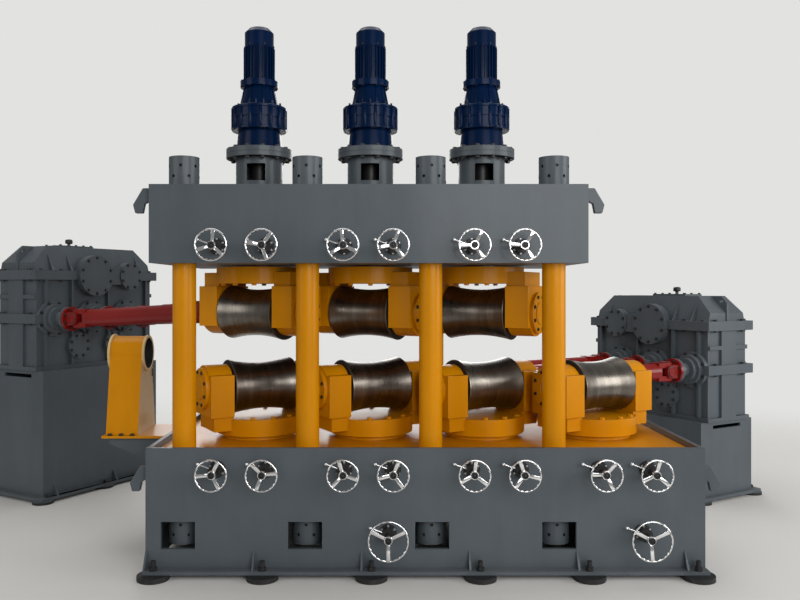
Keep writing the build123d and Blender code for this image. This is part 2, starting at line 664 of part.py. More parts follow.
def gearbox_case():
    """A split gearbox case. Local X runs away from the rolls, Y from the near shaft to the
    far end, and Z = 0 is its underside. The output shafts point to -X."""
    pitch = BAY * sin(radians(SKEW))
    y0, y1 = -CASE_NEAR, 2 * pitch + CASE_FAR
    flange_top = UPPER_PARTING + PARTING_H / 2
    shoulder = CASE_H - CASE_CUT_Z
    end_view = [(y0, 0), (y1, 0), (y1, shoulder), (y1 - CASE_CUT_X, CASE_H), (y0 + CASE_CUT_X, CASE_H),
                (y0, shoulder)]
    body = extrude(face_on(Plane.YZ, Polyline(*end_view, close=True)), CASE_THICK, dir=(1, 0, 0))
    for x, direction in ((0, 1), (CASE_THICK, -1)):
        wedge = [(x, UPPER_PARTING), (x + direction * CASE_TOP_INSET, CASE_H), (x, CASE_H)]
        body -= plate_on(Plane.XZ, wedge, (y1 - y0) * 4)
    pieces = [body]
    for middle in (CASE_OUTPUT_H, UPPER_PARTING):
        pieces.append(block((-PARTING_REACH, CASE_THICK + PARTING_REACH),
                            (y0 - PARTING_REACH, y1 + PARTING_REACH), span(middle, PARTING_H)))
    pieces.append(block((-PARTING_REACH / 2, CASE_THICK + PARTING_REACH / 2),
                        (y0 - PARTING_REACH / 2, y1 + PARTING_REACH / 2), (0, CASE_FOOT_T)))
    for i in range(3):
        shaft = Pos(0, i * pitch, CASE_OUTPUT_H)
        pieces += [shaft * rod_x(radius, -reach, 0) for radius, reach in HUB_STEPS]
        pieces.append(shaft * rod_x(HUB_SHAFT_R, -hub_reach(), 0))
        pieces.append(shaft * rod_x(COUPLING_R, -hub_reach(), -hub_reach() + COUPLING_T))
    for y, radius in ((COVER_AT, COVER_R), (COVER_AT + pitch, SMALL_COVER_R)):
        pieces.append(Pos(0, y, UPPER_PARTING) * rod_x(radius, -PARTING_REACH - COVER_T, 0))
        low = Pos(0, y + LOW_COVER_AT - COVER_AT, LOW_COVER_Z)
        pieces.append(low * rod_x(LOW_COVER_R, -LOW_COVER_T, 0))
    pieces.append(block((-PARTING_REACH - COVER_LINK_T, 0), (COVER_AT, COVER_AT + pitch),
                        span(UPPER_PARTING, COVER_LINK_H)))
    for y in (y0 + CASE_CUT_X / 2, pitch * 0.5, pitch * 1.5, y1 - CASE_CUT_X / 2):
        pieces.append(block((-CASE_RIB_REACH, 0), span(y, CASE_RIB_T), (CASE_FOOT_T, UPPER_PARTING)))
    for y in (y0 + CASE_CUT_X, pitch * 0.5, COVER_AT, pitch * 1.5, y1 - CASE_CUT_X):
        rib = [(-SLOPE_RIB_REACH, flange_top - 1), (CASE_TOP_INSET + 1, CASE_H - SLOPE_RIB_REACH),
               (CASE_TOP_INSET + 1, flange_top - 1)]
        pieces.append(Pos(0, y, 0) * plate_on(Plane.XZ, rib, SLOPE_RIB_T))
    middle = CASE_THICK / 2
    for end, out in ((y0, -1), (y1, 1)):
        reach = sorted((end, end + out * END_PAD_REACH))
        pieces.append(block(span(middle, END_PAD_W), reach, (CASE_FOOT_T, UPPER_PARTING)))
        pieces.append(block((0, CASE_THICK), reach, span((CASE_OUTPUT_H + UPPER_PARTING) / 2, CASE_FOOT_T)))
        tip, root = end + out * FIN_PLATE_OUT, end - out * CASE_CUT_X
        fin = [(root, CASE_H - 1), (end - out * FIN_HOLE_IN, CASE_H), (tip, CASE_H - FIN_PLATE_DROP),
               (tip, flange_top - 1), (root, flange_top - 1)]
        eye = Pos(0, end - out * FIN_HOLE_IN, CASE_H - FIN_HOLE_IN)
        plate = plate_on(Plane.YZ, fin, FIN_PLATE_T) - eye * rod_x(FIN_HOLE_R, -FIN_PLATE_T, FIN_PLATE_T)
        pieces.append(Pos(middle, 0, 0) * plate)
    pieces.append(block(span(middle, TOP_COVER_W), TOP_COVER_AT, (CASE_H, CASE_H + TOP_COVER_T)))
    return joined(pieces)


def hub_reach():
    """How far a gearbox hub's coupling face stands ahead of the case."""
    return HUB_STEPS[-1][1] + CHOCK_GAP + COUPLING_T + HUB_STANDOFF


def gearbox_pedestal(height):
    """The hollow box that a gearbox stands on, with a foot flange and round pads."""
    pitch = BAY * sin(radians(SKEW))
    y0, y1 = -CASE_NEAR, 2 * pitch + CASE_FAR
    low, front, back = DRIVE_PAD_H, -DRIVE_MARGIN, CASE_THICK + DRIVE_MARGIN
    foot_top = low + DRIVE_FOOT_T
    foot = block((front - DRIVE_FOOT, back + DRIVE_FOOT),
                 (y0 - DRIVE_FOOT, y1 + DRIVE_FOOT), (low, foot_top))
    pieces = [block((front, back), (y0, y1), (low, height)), foot]
    pad_y = (y0, (y0 + y1) / 2, y1)
    gusset_y = [y + side * DRIVE_GUSSET_OFFSET for y, side in zip(pad_y, (1, 1, -1))]
    for x, out in ((front, -1), (back, 1)):
        gusset = [(x, foot_top - 1), (x + out * DRIVE_FOOT, foot_top - 1), (x, foot_top + DRIVE_GUSSET_H)]
        pieces += [Pos(0, y, 0) * plate_on(Plane.XZ, gusset, DRIVE_GUSSET_T) for y in gusset_y]
    wall, ceiling, middle = DRIVE_WALL, height - DRIVE_TOP_T, CASE_THICK / 2
    solid = joined(pieces) - block((front + wall, back - wall), (y0 + wall, y1 - wall), (low, ceiling))
    for end in (y0, y1):
        solid -= block(span(middle, DRIVE_SLOT_W), (end - wall - 1, end + wall + 1),
                       (ceiling - DRIVE_SLOT_H, ceiling))
    pads = [disc(DRIVE_PAD_R, 0, low, (x, y)) for x in (front, back) for y in pad_y]
    return joined([solid] + pads)


def place_left_drive(solid, z=0.0):
    """Sets a gearbox piece behind the left end, facing upper roll one."""
    flipped = mirror(solid, about=Plane.XZ)
    return Pos(UPPER_X[0], 0, z) * Rot(0, 0, 180 - SKEW) * Pos(LEFT_FACE, 0, 0) * flipped


def place_right_drive(solid, z=0.0):
    """Sets a gearbox piece behind the right end, facing lower roll three."""
    return Pos(LOWER_X[2], 0, z) * Rot(0, 0, SKEW) * Pos(RIGHT_FACE, 0, 0) * solid


def joint_fork(inner, outer, quarter):
    """One fork of a universal joint between a flange side at inner and the cross at outer."""
    ears = []
    step = 1 if outer > inner else -1
    for side in (-1, 1):
        y = sorted((side * EAR_SPREAD, side * (EAR_SPREAD - EAR_T)))
        ears.append(block(sorted((inner, outer)), y, (-EAR_R, EAR_R)))
        rounded = Pos(outer, 0, 0) * Rot(90, 0, 0) * Cylinder(EAR_R, EAR_T)
        ears.append(Pos(0, (y[0] + y[1]) / 2, 0) * rounded)
    web = block(sorted((inner, inner + step * EAR_T)), (-EAR_SPREAD, EAR_SPREAD), (-EAR_R, EAR_R))
    return Rot(quarter * 90, 0, 0) * joined(ears + [web])


def cardan(length):
    """A cardan shaft from 0 to length along X: flanges, two crossed joints, tube and sleeve."""
    first, last = JOINT_L, length - JOINT_L
    neck = first + EAR_R + NECK_L
    pieces = []
    for face, cross, step in ((0, first, 1), (length, last, -1)):
        pieces.append(rod_x(COUPLING_R, *sorted((face, face + step * COUPLING_T))))
        pieces.append(joint_fork(face + step * COUPLING_T, cross, 0))
        pieces.append(joint_fork(cross + step * (EAR_R + NECK_L), cross, 1))
        pin = Rot(90, 0, 0) * Cylinder(CROSS_R, 2 * EAR_SPREAD)
        pieces += [Pos(cross, 0, 0) * Rot(turn, 0, 0) * pin for turn in (0, 90)]
    reach = ROLL_END_GAP - SPIGOT_GAP
    stub = [(0, -1), (SPIGOT_R, -1), (SPIGOT_R, reach - SPIGOT_NOSE), (SPIGOT_TIP, reach), (0, reach)]
    pieces.append(Rot(0, -90, 0) * turned(Polyline(*stub, close=True)))
    pieces.append(rod_x(CARDAN_TUBE_R, neck - EAR_T / 2, length - neck + EAR_T / 2))
    pieces.append(rod_x(CARDAN_SLEEVE_R, neck, neck + CARDAN_SLEEVE_L))
    return joined(pieces)


def cardan_line(i, upper):
    """Start point at the roll's coupling and end point at the gearbox hub of shaft i."""
    pitch_along = BAY * cos(radians(SKEW))
    if upper:
        turn, x, z = 180 - SKEW, UPPER_X[i], UPPER_AXIS_Z
        face = LEFT_FACE + i * pitch_along
        hub_z = LEFT_CASE_Z + CASE_OUTPUT_H
    else:
        turn, x, z = SKEW, LOWER_X[i], LOWER_AXIS_Z
        face = RIGHT_FACE + (2 - i) * pitch_along
        hub_z = RIGHT_CASE_Z + CASE_OUTPUT_H
    start, stop = COUPLING_FACE + ROLL_END_GAP, face - hub_reach()
    tilt = atan2(z - hub_z, stop - start)
    stop -= HUB_END_GAP + COUPLING_R * sin(abs(tilt))
    return turn, x, z, hub_z, start, stop


def placed_cardan(i, upper):
    """A cardan shaft set between roll i and its gearbox."""
    turn, x, z, hub_z, start, stop = cardan_line(i, upper)
    run, drop = stop - start, z - hub_z
    tilt = degrees(atan2(drop, run))
    shaft = cardan(sqrt(run ** 2 + drop ** 2))
    return Pos(x, 0, z) * Rot(0, 0, turn) * Pos(start, 0, 0) * Rot(0, tilt, 0) * shaft


def model():
    """Every node's solids, by name."""
    nodes = {
        "base_front_plate": [base_plate(-1)],
        "base_rear_plate": [base_plate(1)],
        "base_end_plates": base_end_plates(),
        "base_deck": [base_deck()],
        "base_stiffeners": [base_stiffeners()],
        "levelling_pads": levelling_pads(),
        "columns": columns(),
        "column_nuts": column_nuts(),
        "top_beam": [top_beam()],
        "lifting_hooks": lifting_hooks(),
        "motor_pedestals": [Pos(x, 0, BEAM_TOP) * motor_pedestal() for x in UPPER_X],
        "screwdown_gearmotors": [Pos(x, 0, BEAM_TOP + PEDESTAL_H + FLANGE_T) * gearmotor() for x in UPPER_X],
        "guide_hood": [guide_hood()],
        "guide_bracket": [guide_bracket()],
        "left_gearbox_case": [place_left_drive(gearbox_case(), LEFT_CASE_Z)],
        "left_gearbox_pedestal": [place_left_drive(gearbox_pedestal(LEFT_CASE_Z))],
        "right_gearbox_case": [place_right_drive(gearbox_case(), RIGHT_CASE_Z)],
        "right_gearbox_pedestal": [place_right_drive(gearbox_pedestal(RIGHT_CASE_Z))],
    }
    yoke_solid = yoke()
    for i, x in enumerate(UPPER_X, 1):
        nodes[f"screwdown_ram_{i}"] = [Pos(x, 0, UPPER_AXIS_Z + YOKE_REACH + TURN_PLAY) * ram()]
        nodes[f"upper_yoke_{i}"] = [place_upper(yoke_solid, x)]
        nodes[f"upper_roll_{i}"] = [place_upper(roll(-1), x)]
        nodes[f"left_cardan_{i}"] = [placed_cardan(i - 1, True)]
    for i, x in enumerate(LOWER_X, 1):
        nodes[f"lower_yoke_{i}"] = [place_lower(yoke_solid, x)]
        nodes[f"lower_roll_{i}"] = [place_lower(roll(1 if i < LOWER_ROLLS else 0), x)]
        if i < LOWER_ROLLS:
            nodes[f"right_cardan_{i}"] = [placed_cardan(i - 1, False)]
    wheels = {radius: handwheel(radius) for radius in (WHEEL_R, BIG_WHEEL_R)}
    wheel_y = -FACE_Y - WHEEL_REACH + WHEEL_DISH + HUB_L / 2
    bosses = []
    for name, radius, x, z, turn in wheel_places():
        nodes[name] = [Pos(x, wheel_y, z) * Rot(0, -turn, 0) * wheels[radius]]
        bosses.append(Pos(x, -FACE_Y, z) * wheel_boss())
    nodes["handwheel_mounts"] = bosses
    return nodes


def centred(nodes):
    """Moves the model so that the middle of its footprint is the origin."""
    boxes = [solid.bounding_box() for solids in nodes.values() for solid in solids]
    x = (min(b.min.X for b in boxes) + max(b.max.X for b in boxes)) / 2
    y = (min(b.min.Y for b in boxes) + max(b.max.Y for b in boxes)) / 2
    moved = {name: [Pos(-x, -y, 0) * solid for solid in solids] for name, solids in nodes.items()}
    return moved, (x, y)


NODES, MIDDLE = centred(model())
os.makedirs("parts", exist_ok=True)
for node_name, node_solids in NODES.items():
    shape = node_solids[0] if len(node_solids) == 1 else Compound(children=list(node_solids))
    export_step(shape, f"parts/{node_name}.step")
print("nodes", len(NODES), "middle of the footprint", MIDDLE)
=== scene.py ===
"""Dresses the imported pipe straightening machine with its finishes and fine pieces.

Lengths are in metres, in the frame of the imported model: X runs along the pipe, +Y to the
back, +Z up. Every station, shaft and node box is read from that frame.
"""
import json
import logging
import math
from contextlib import contextmanager
from dataclasses import dataclass, field
from enum import Enum
from typing import Callable, Iterable, Iterator, Sequence, Union

import bmesh
import bpy
from mathutils import Matrix, Vector

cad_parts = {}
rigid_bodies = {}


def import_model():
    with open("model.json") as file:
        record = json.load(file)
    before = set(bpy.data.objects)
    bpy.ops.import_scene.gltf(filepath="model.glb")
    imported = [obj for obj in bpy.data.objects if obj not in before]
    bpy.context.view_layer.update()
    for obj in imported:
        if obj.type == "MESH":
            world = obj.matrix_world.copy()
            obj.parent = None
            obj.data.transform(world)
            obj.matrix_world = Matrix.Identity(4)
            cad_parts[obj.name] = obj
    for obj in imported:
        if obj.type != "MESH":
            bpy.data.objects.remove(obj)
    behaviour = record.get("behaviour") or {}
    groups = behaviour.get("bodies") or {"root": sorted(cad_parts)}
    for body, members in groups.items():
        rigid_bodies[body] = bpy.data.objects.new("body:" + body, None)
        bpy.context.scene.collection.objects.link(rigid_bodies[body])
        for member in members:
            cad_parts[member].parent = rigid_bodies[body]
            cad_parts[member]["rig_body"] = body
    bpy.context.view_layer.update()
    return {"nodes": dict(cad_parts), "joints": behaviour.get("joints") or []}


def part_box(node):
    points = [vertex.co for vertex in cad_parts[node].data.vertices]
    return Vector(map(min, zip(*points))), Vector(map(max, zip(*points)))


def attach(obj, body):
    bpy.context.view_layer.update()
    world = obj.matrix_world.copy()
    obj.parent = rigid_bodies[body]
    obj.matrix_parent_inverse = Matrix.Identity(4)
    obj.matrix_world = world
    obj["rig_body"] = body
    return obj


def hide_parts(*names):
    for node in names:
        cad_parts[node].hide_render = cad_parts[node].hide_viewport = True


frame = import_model()
log = logging.getLogger("straightener")

FRAME_BODY = "machine_frame"
UP = Vector((0.0, 0.0, 1.0))
HAIR = 0.001                    # play when faces are told apart by their place

Colour = tuple[float, float, float]
Outline = Sequence[tuple[float, float]]
Triple = tuple[float, float, float]
FaceTest = Callable[[Vector, Vector], bool]


def srgb(red: int, green: int, blue: int) -> Colour:
    """A colour given as it looks on a screen, in linear light.

    Args:
        red: Red, 0 to 255.
        green: Green, 0 to 255.
        blue: Blue, 0 to 255.

    Returns:
        The three linear values.
    """
    shares = (red / 255, green / 255, blue / 255)
    return tuple(share / 12.92 if share <= 0.04045 else ((share + 0.055) / 1.055) ** 2.4 for share in shares)


def tinted(colour: Colour, factor: float) -> Colour:
    """A colour made darker or lighter.

    Args:
        colour: The linear colour.
        factor: What each part is multiplied by.

    Returns:
        The new colour, each part at most 1.
    """
    return tuple(min(1.0, part * factor) for part in colour)


def body_of(node: str) -> str:
    """The body that carries a CAD node, by the node's name."""
    return frame["nodes"][node]["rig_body"]


def runs(node: str, origin: Vector, direction: Vector) -> tuple[float, float]:
    """How far a CAD node reaches from a point.

    Args:
        node: The node.
        origin: The point.
        direction: The unit vector along which the reach is measured.

    Returns:
        The lowest and the highest reach.
    """
    found = [(Vector(vertex.co) - origin).dot(direction) for vertex in frame["nodes"][node].data.vertices]
    return min(found), max(found)


def around(count: int, radius: float = 1.0, first: float = 0.0) -> list[Vector]:
    """Points spread evenly round Z.

    Args:
        count: How many.
        radius: Their distance from Z.
        first: Angle of the first one in degrees.

    Returns:
        The points, in the plane of X and Y.
    """
    turns = [math.radians(first + k * 360 / count) for k in range(count)]
    return [Vector((radius * math.cos(turn), radius * math.sin(turn), 0)) for turn in turns]


def grown(outline: Outline, radius: float) -> list[tuple[float, float]]:
    """An outline whose radii are shares of one radius, in metres."""
    return [(share * radius, height) for share, height in outline]


def stations(level: str) -> list[int]:
    """Numbers of the roll stations of a level, upper or lower."""
    start = f"{level}_roll_"
    return sorted(int(node[len(start):]) for node in frame["nodes"] if node.startswith(start))


def handwheels() -> list[str]:
    """Names of all handwheel nodes."""
    return sorted(node for node in frame["nodes"] if "_handwheel_" in node)


class Sock:
    """A socket of a shader tree, on which maths is written as Python."""

    def __init__(self, tree: "ShaderTree", socket: bpy.types.NodeSocket) -> None:
        """Keeps the tree and the output socket."""
        self.tree = tree
        self.socket = socket

    def _maths(self, operation: str, first: "Value", second: "Value") -> "Sock":
        """Adds one Math node for an operation on two values."""
        return self.tree.node("ShaderNodeMath", {"operation": operation}, {0: first, 1: second})

    def __add__(self, other: "Value") -> "Sock":
        """Sum."""
        return self._maths("ADD", self, other)

    def __sub__(self, other: "Value") -> "Sock":
        """Difference."""
        return self._maths("SUBTRACT", self, other)

    def __rsub__(self, other: "Value") -> "Sock":
        """Difference with the socket on the right."""
        return self._maths("SUBTRACT", other, self)

    def __mul__(self, other: "Value") -> "Sock":
        """Product."""
        return self._maths("MULTIPLY", self, other)

    __radd__ = __add__
    __rmul__ = __mul__

    def step(self, low: float, high: float) -> "Sock":
        """A smooth step from 0 to 1.

        Args:
            low: Value that gives 0.
            high: Value that gives 1.

        Returns:
            The stepped socket.
        """
        return self.tree.node("ShaderNodeMapRange", {"interpolation_type": "SMOOTHSTEP"},
                              {0: self, 1: low, 2: high, 3: 0.0, 4: 1.0})


Value = Union[Sock, float, int, Sequence[float]]
Key = Union[int, str]


class ShaderTree:
    """The node tree of one material or world."""

    def __init__(self, owner: Union[bpy.types.Material, bpy.types.World]) -> None:
        """Empties the owner's tree and adds its output.

        Args:
            owner: The material or world.
        """
        owner.use_nodes = True
        self.tree = owner.node_tree
        self.tree.nodes.clear()
        kind = "World" if isinstance(owner, bpy.types.World) else "Material"
        self.output = self.tree.nodes.new(f"ShaderNodeOutput{kind}")

    def node(self, kind: str, settings: dict[str, object], sockets: dict[Key, Value],
             output: Key = 0) -> Sock:
        """Adds a node, sets it up and feeds its sockets.

        Args:
            kind: The node's type.
            settings: Properties that are set first.
            sockets: Value or link of each input, by index or name.
            output: The output that is returned, by index or name.

        Returns:
            The chosen output.
        """
        made = self.tree.nodes.new(kind)
        for name, value in settings.items():
            setattr(made, name, value)
        for key, value in sockets.items():
            target = made.inputs[key]
            if isinstance(value, Sock):
                self.tree.links.new(value.socket, target)
            elif target.type == "RGBA" and len(value) == 3:
                target.default_value = (*value, 1.0)
            else:
                target.default_value = value
        return Sock(self, made.outputs[output])

    def place(self, scale: Sequence[float] = (1, 1, 1), turn: float = 0.0) -> Sock:
        """Object coordinates, turned about Z and then scaled.

        Args:
            scale: Scale along each axis.
            turn: Turn about Z in degrees.

        Returns:
            The vector socket.
        """
        here = self.node("ShaderNodeTexCoord", {}, {}, "Object")
        turned = self.node("ShaderNodeMapping", {},
                           {"Vector": here, "Rotation": (0, 0, math.radians(-turn))})
        return self.node("ShaderNodeVectorMath", {"operation": "MULTIPLY"}, {0: turned, 1: tuple(scale)})

    def noise(self, place: Sock, scale: float, detail: float = 3.0, rough: float = 0.5) -> Sock:
        """A noise over a place.

        Args:
            place: The vector socket.
            scale: How fine it is.
            detail: Its octaves.
            rough: How strong the finer octaves are.

        Returns:
            A value from 0 to 1.
        """
        return self.node("ShaderNodeTexNoise", {},
                         {"Vector": place, "Scale": scale, "Detail": detail, "Roughness": rough}, "Fac")

    def mix(self, mask: Value, first: Value, second: Value) -> Sock:
        """A colour between two, the second where the mask is 1."""
        return self.node("ShaderNodeMix", {"data_type": "RGBA"}, {0: mask, 6: first, 7: second}, 2)

    def upward(self) -> Sock:
        """The height part of the surface's normal."""
        normal = self.node("ShaderNodeNewGeometry", {}, {}, "Normal")
        return self.node("ShaderNodeSeparateXYZ", {}, {0: normal}, "Z")

    def bump(self, height: Sock, distance: float, strength: float) -> Sock:
        """A normal bumped by a height, over a distance in metres and at a strength."""
        return self.node("ShaderNodeBump", {},
                         {"Strength": strength, "Distance": distance, "Height": height})

    def close(self, shader: Sock) -> None:
        """Ends the tree in a shader."""
        self.tree.links.new(shader.socket, self.output.inputs["Surface"])

    def finish(self, sockets: dict[Key, Value]) -> None:
        """Ends the tree in a principled shader with these sockets."""
        self.close(self.node("ShaderNodeBsdfPrincipled", {}, sockets))


class Slot(Enum):
    """The record's material slots."""

    GREY = "grey_paint"
    YELLOW = "yellow_paint"
    BLUE = "blue_paint"
    RED = "red_paint"
    ROLL = "roll_steel"
    STEEL = "ground_steel"
    CHROME = "wheel_chrome"
    BLACK = "blackened_steel"


@dataclass(frozen=True)
class Finish:
    """What every finish has: a name and the slot that it belongs to."""

    name: str
    slot: Slot

    def material(self) -> bpy.types.Material:
        """The finish's material, made on its first use.

        Returns:
            The material.
        """
        known = bpy.data.materials.get(self.name)
        if known:
            return known
        made = bpy.data.materials.new(self.name)
        self.build(ShaderTree(made))
        return made

    def build(self, tree: ShaderTree) -> None:
        """Fills the material's tree; each kind of finish has its own way."""
        raise NotImplementedError


@dataclass(frozen=True)
class Paint(Finish):
    """Sprayed machine paint with orange peel, faint clouds, dust on top and rubbed spots."""

    colour: Colour
    roughness: float = 0.35
    coat: float = 0.0
    cloud: float = 0.12         # how far the tone wanders
    dust: float = 0.1
    dust_colour: Colour = srgb(150, 148, 142)
    rub: float = 0.2            # how strongly rubbed spots show
    gloss: float = 0.24         # specular level

    def build(self, tree: ShaderTree) -> None:
        """Fills the material's tree.

        Args:
            tree: The empty tree.
        """
        here = tree.place()
        clouds = tree.noise(here, 1.6, 4.0, 0.55)
        drips = tree.noise(tree.place((11.0, 11.0, 1.3)), 1.0)
        peel = tree.noise(here, 130.0, 2.0)
        spots = tree.noise(here, 23.0, 5.0, 0.65).step(0.63, 0.71)
        tone = (clouds * 0.7 + drips * 0.3).step(0.32, 0.68)
        base = tree.mix(tone, tinted(self.colour, 1 - self.cloud), tinted(self.colour, 1 + self.cloud))
        base = tree.mix(spots * self.rub, base, tinted(self.colour, 1.55))
        lying = tree.upward().step(0.55, 0.98) * (clouds.step(0.3, 0.7) * 0.6 + 0.4) * self.dust
        base = tree.mix(lying, base, self.dust_colour)
        rough = clouds * 0.12 + (self.roughness - 0.06) + lying * 0.35 + spots * 0.12
        sockets = {"Base Color": base, "Roughness": rough, "Specular IOR Level": self.gloss,
                   "Normal": tree.bump(peel, 0.00035, 0.6)}
        if self.coat:
            sockets |= {"Coat Weight": self.coat - lying * self.coat, "Coat Roughness": 0.08}
        tree.finish(sockets)


@dataclass(frozen=True)
class RollSteel(Finish):
    """Hardened roll steel: turned rings round the axis, oil film and rubbed bright bands."""

    turn: float                 # of the roll's axis from +X, degrees
    dark: Colour = srgb(106, 101, 94)
    oil: Colour = srgb(80, 72, 63)
    bright: Colour = srgb(160, 154, 144)

    def build(self, tree: ShaderTree) -> None:
        """Fills the material's tree.

        Args:
            tree: The empty tree.
        """
        along = tree.place((1.0, 0.02, 0.02), self.turn)
        rings = tree.noise(along, 240.0, 2.0, 0.6)
        bands = tree.noise(along, 17.0, 3.0, 0.55)
        film = tree.noise(tree.place((1.0, 1.0, 1.0), self.turn), 5.5, 4.0, 0.6)
        smear = tree.noise(tree.place((14.0, 2.0, 2.0), self.turn), 1.6, 4.0, 0.6)
        base = tree.mix(bands.step(0.3, 0.7), self.dark, tinted(self.dark, 1.5))
        base = tree.mix(film.step(0.45, 0.75) * 0.6, base, self.oil)
        base = tree.mix(smear.step(0.58, 0.72) * 0.35, base, self.bright)
        rough = rings * 0.1 + film.step(0.35, 0.75) * 0.12 + 0.22
        tree.finish({"Base Color": base, "Metallic": 1.0, "Roughness": rough,
                     "Normal": tree.bump(rings, 0.00025, 0.5)})


@dataclass(frozen=True)
class Metal(Finish):
    """Bare or plated metal with fine scratches and a few dull patches."""

    colour: Colour
    roughness: float = 0.25
    grain: float = 60.0

    def build(self, tree: ShaderTree) -> None:
        """Fills the material's tree.

        Args:
            tree: The empty tree.
        """
        patches = tree.noise(tree.place(), 14.0, 4.0, 0.6)
        scratch = tree.noise(tree.place((self.grain, self.grain, 4.0)), 3.0, 3.0, 0.7)
        base = tree.mix(patches.step(0.35, 0.72), self.colour, tinted(self.colour, 0.72))
        rough = patches.step(0.4, 0.75) * 0.16 + scratch * 0.08 + (self.roughness - 0.06)
        tree.finish({"Base Color": base, "Metallic": 1.0, "Roughness": rough,
                     "Normal": tree.bump(scratch, 0.0002, 0.35)})


@dataclass(frozen=True)
class Rubber(Finish):
    """Dull black rubber or blackened steel with pale scuffs."""

    colour: Colour
    scuff: Colour = srgb(78, 76, 72)

    def build(self, tree: ShaderTree) -> None:
        """Fills the material's tree.

        Args:
            tree: The empty tree.
        """
        here = tree.place()
        scuffs = tree.noise(here, 34.0, 5.0, 0.7).step(0.56, 0.72)
        base = tree.mix(scuffs * 0.5, self.colour, self.scuff)
        grit = tree.bump(tree.noise(here, 210.0, 2.0), 0.0006, 0.7)
        tree.finish({"Base Color": base, "Roughness": scuffs * 0.15 + 0.66, "Normal": grit})


GREY = Paint("slate_grey_paint", Slot.GREY, srgb(78, 85, 90), roughness=0.42, coat=0.1, cloud=0.1, dust=0.14)
GREY_DARK = Paint("shaded_grey_paint", Slot.GREY, srgb(30, 32, 34), roughness=0.55)
YELLOW = Paint("amber_yellow_paint", Slot.YELLOW, srgb(202, 131, 0), roughness=0.32, coat=0.04, cloud=0.07,
               dust=0.04, dust_colour=srgb(180, 130, 46), rub=0.04, gloss=0.14)
BLUE = Paint("deep_blue_paint", Slot.BLUE, srgb(0, 25, 58), roughness=0.24, coat=0.06, cloud=0.14,
             dust=0.0, rub=0.05, gloss=0.08)
RED = Paint("oxide_red_paint", Slot.RED, srgb(126, 17, 10), roughness=0.36, coat=0.2, cloud=0.14,
            dust=0.08, dust_colour=srgb(136, 90, 80), rub=0.15)
PALE = Paint("pale_ring_paint", Slot.YELLOW, srgb(206, 178, 122), roughness=0.4, coat=0.1, cloud=0.1,
             dust=0.12)
STEEL = Metal("ground_steel", Slot.STEEL, srgb(168, 168, 166), roughness=0.3)
CHROME = Metal("wheel_chrome", Slot.CHROME, srgb(196, 198, 200), roughness=0.17, grain=30.0)
# Blackened steel for bolts, clips, grilles and hubs; also laid as painted shade on the rolls' end faces and
# inside the nuts' tommy holes.
DARK = Rubber("blackened_steel", Slot.BLACK, srgb(34, 34, 36))
RUBBER = Rubber("pad_rubber", Slot.BLACK, srgb(18, 18, 18))


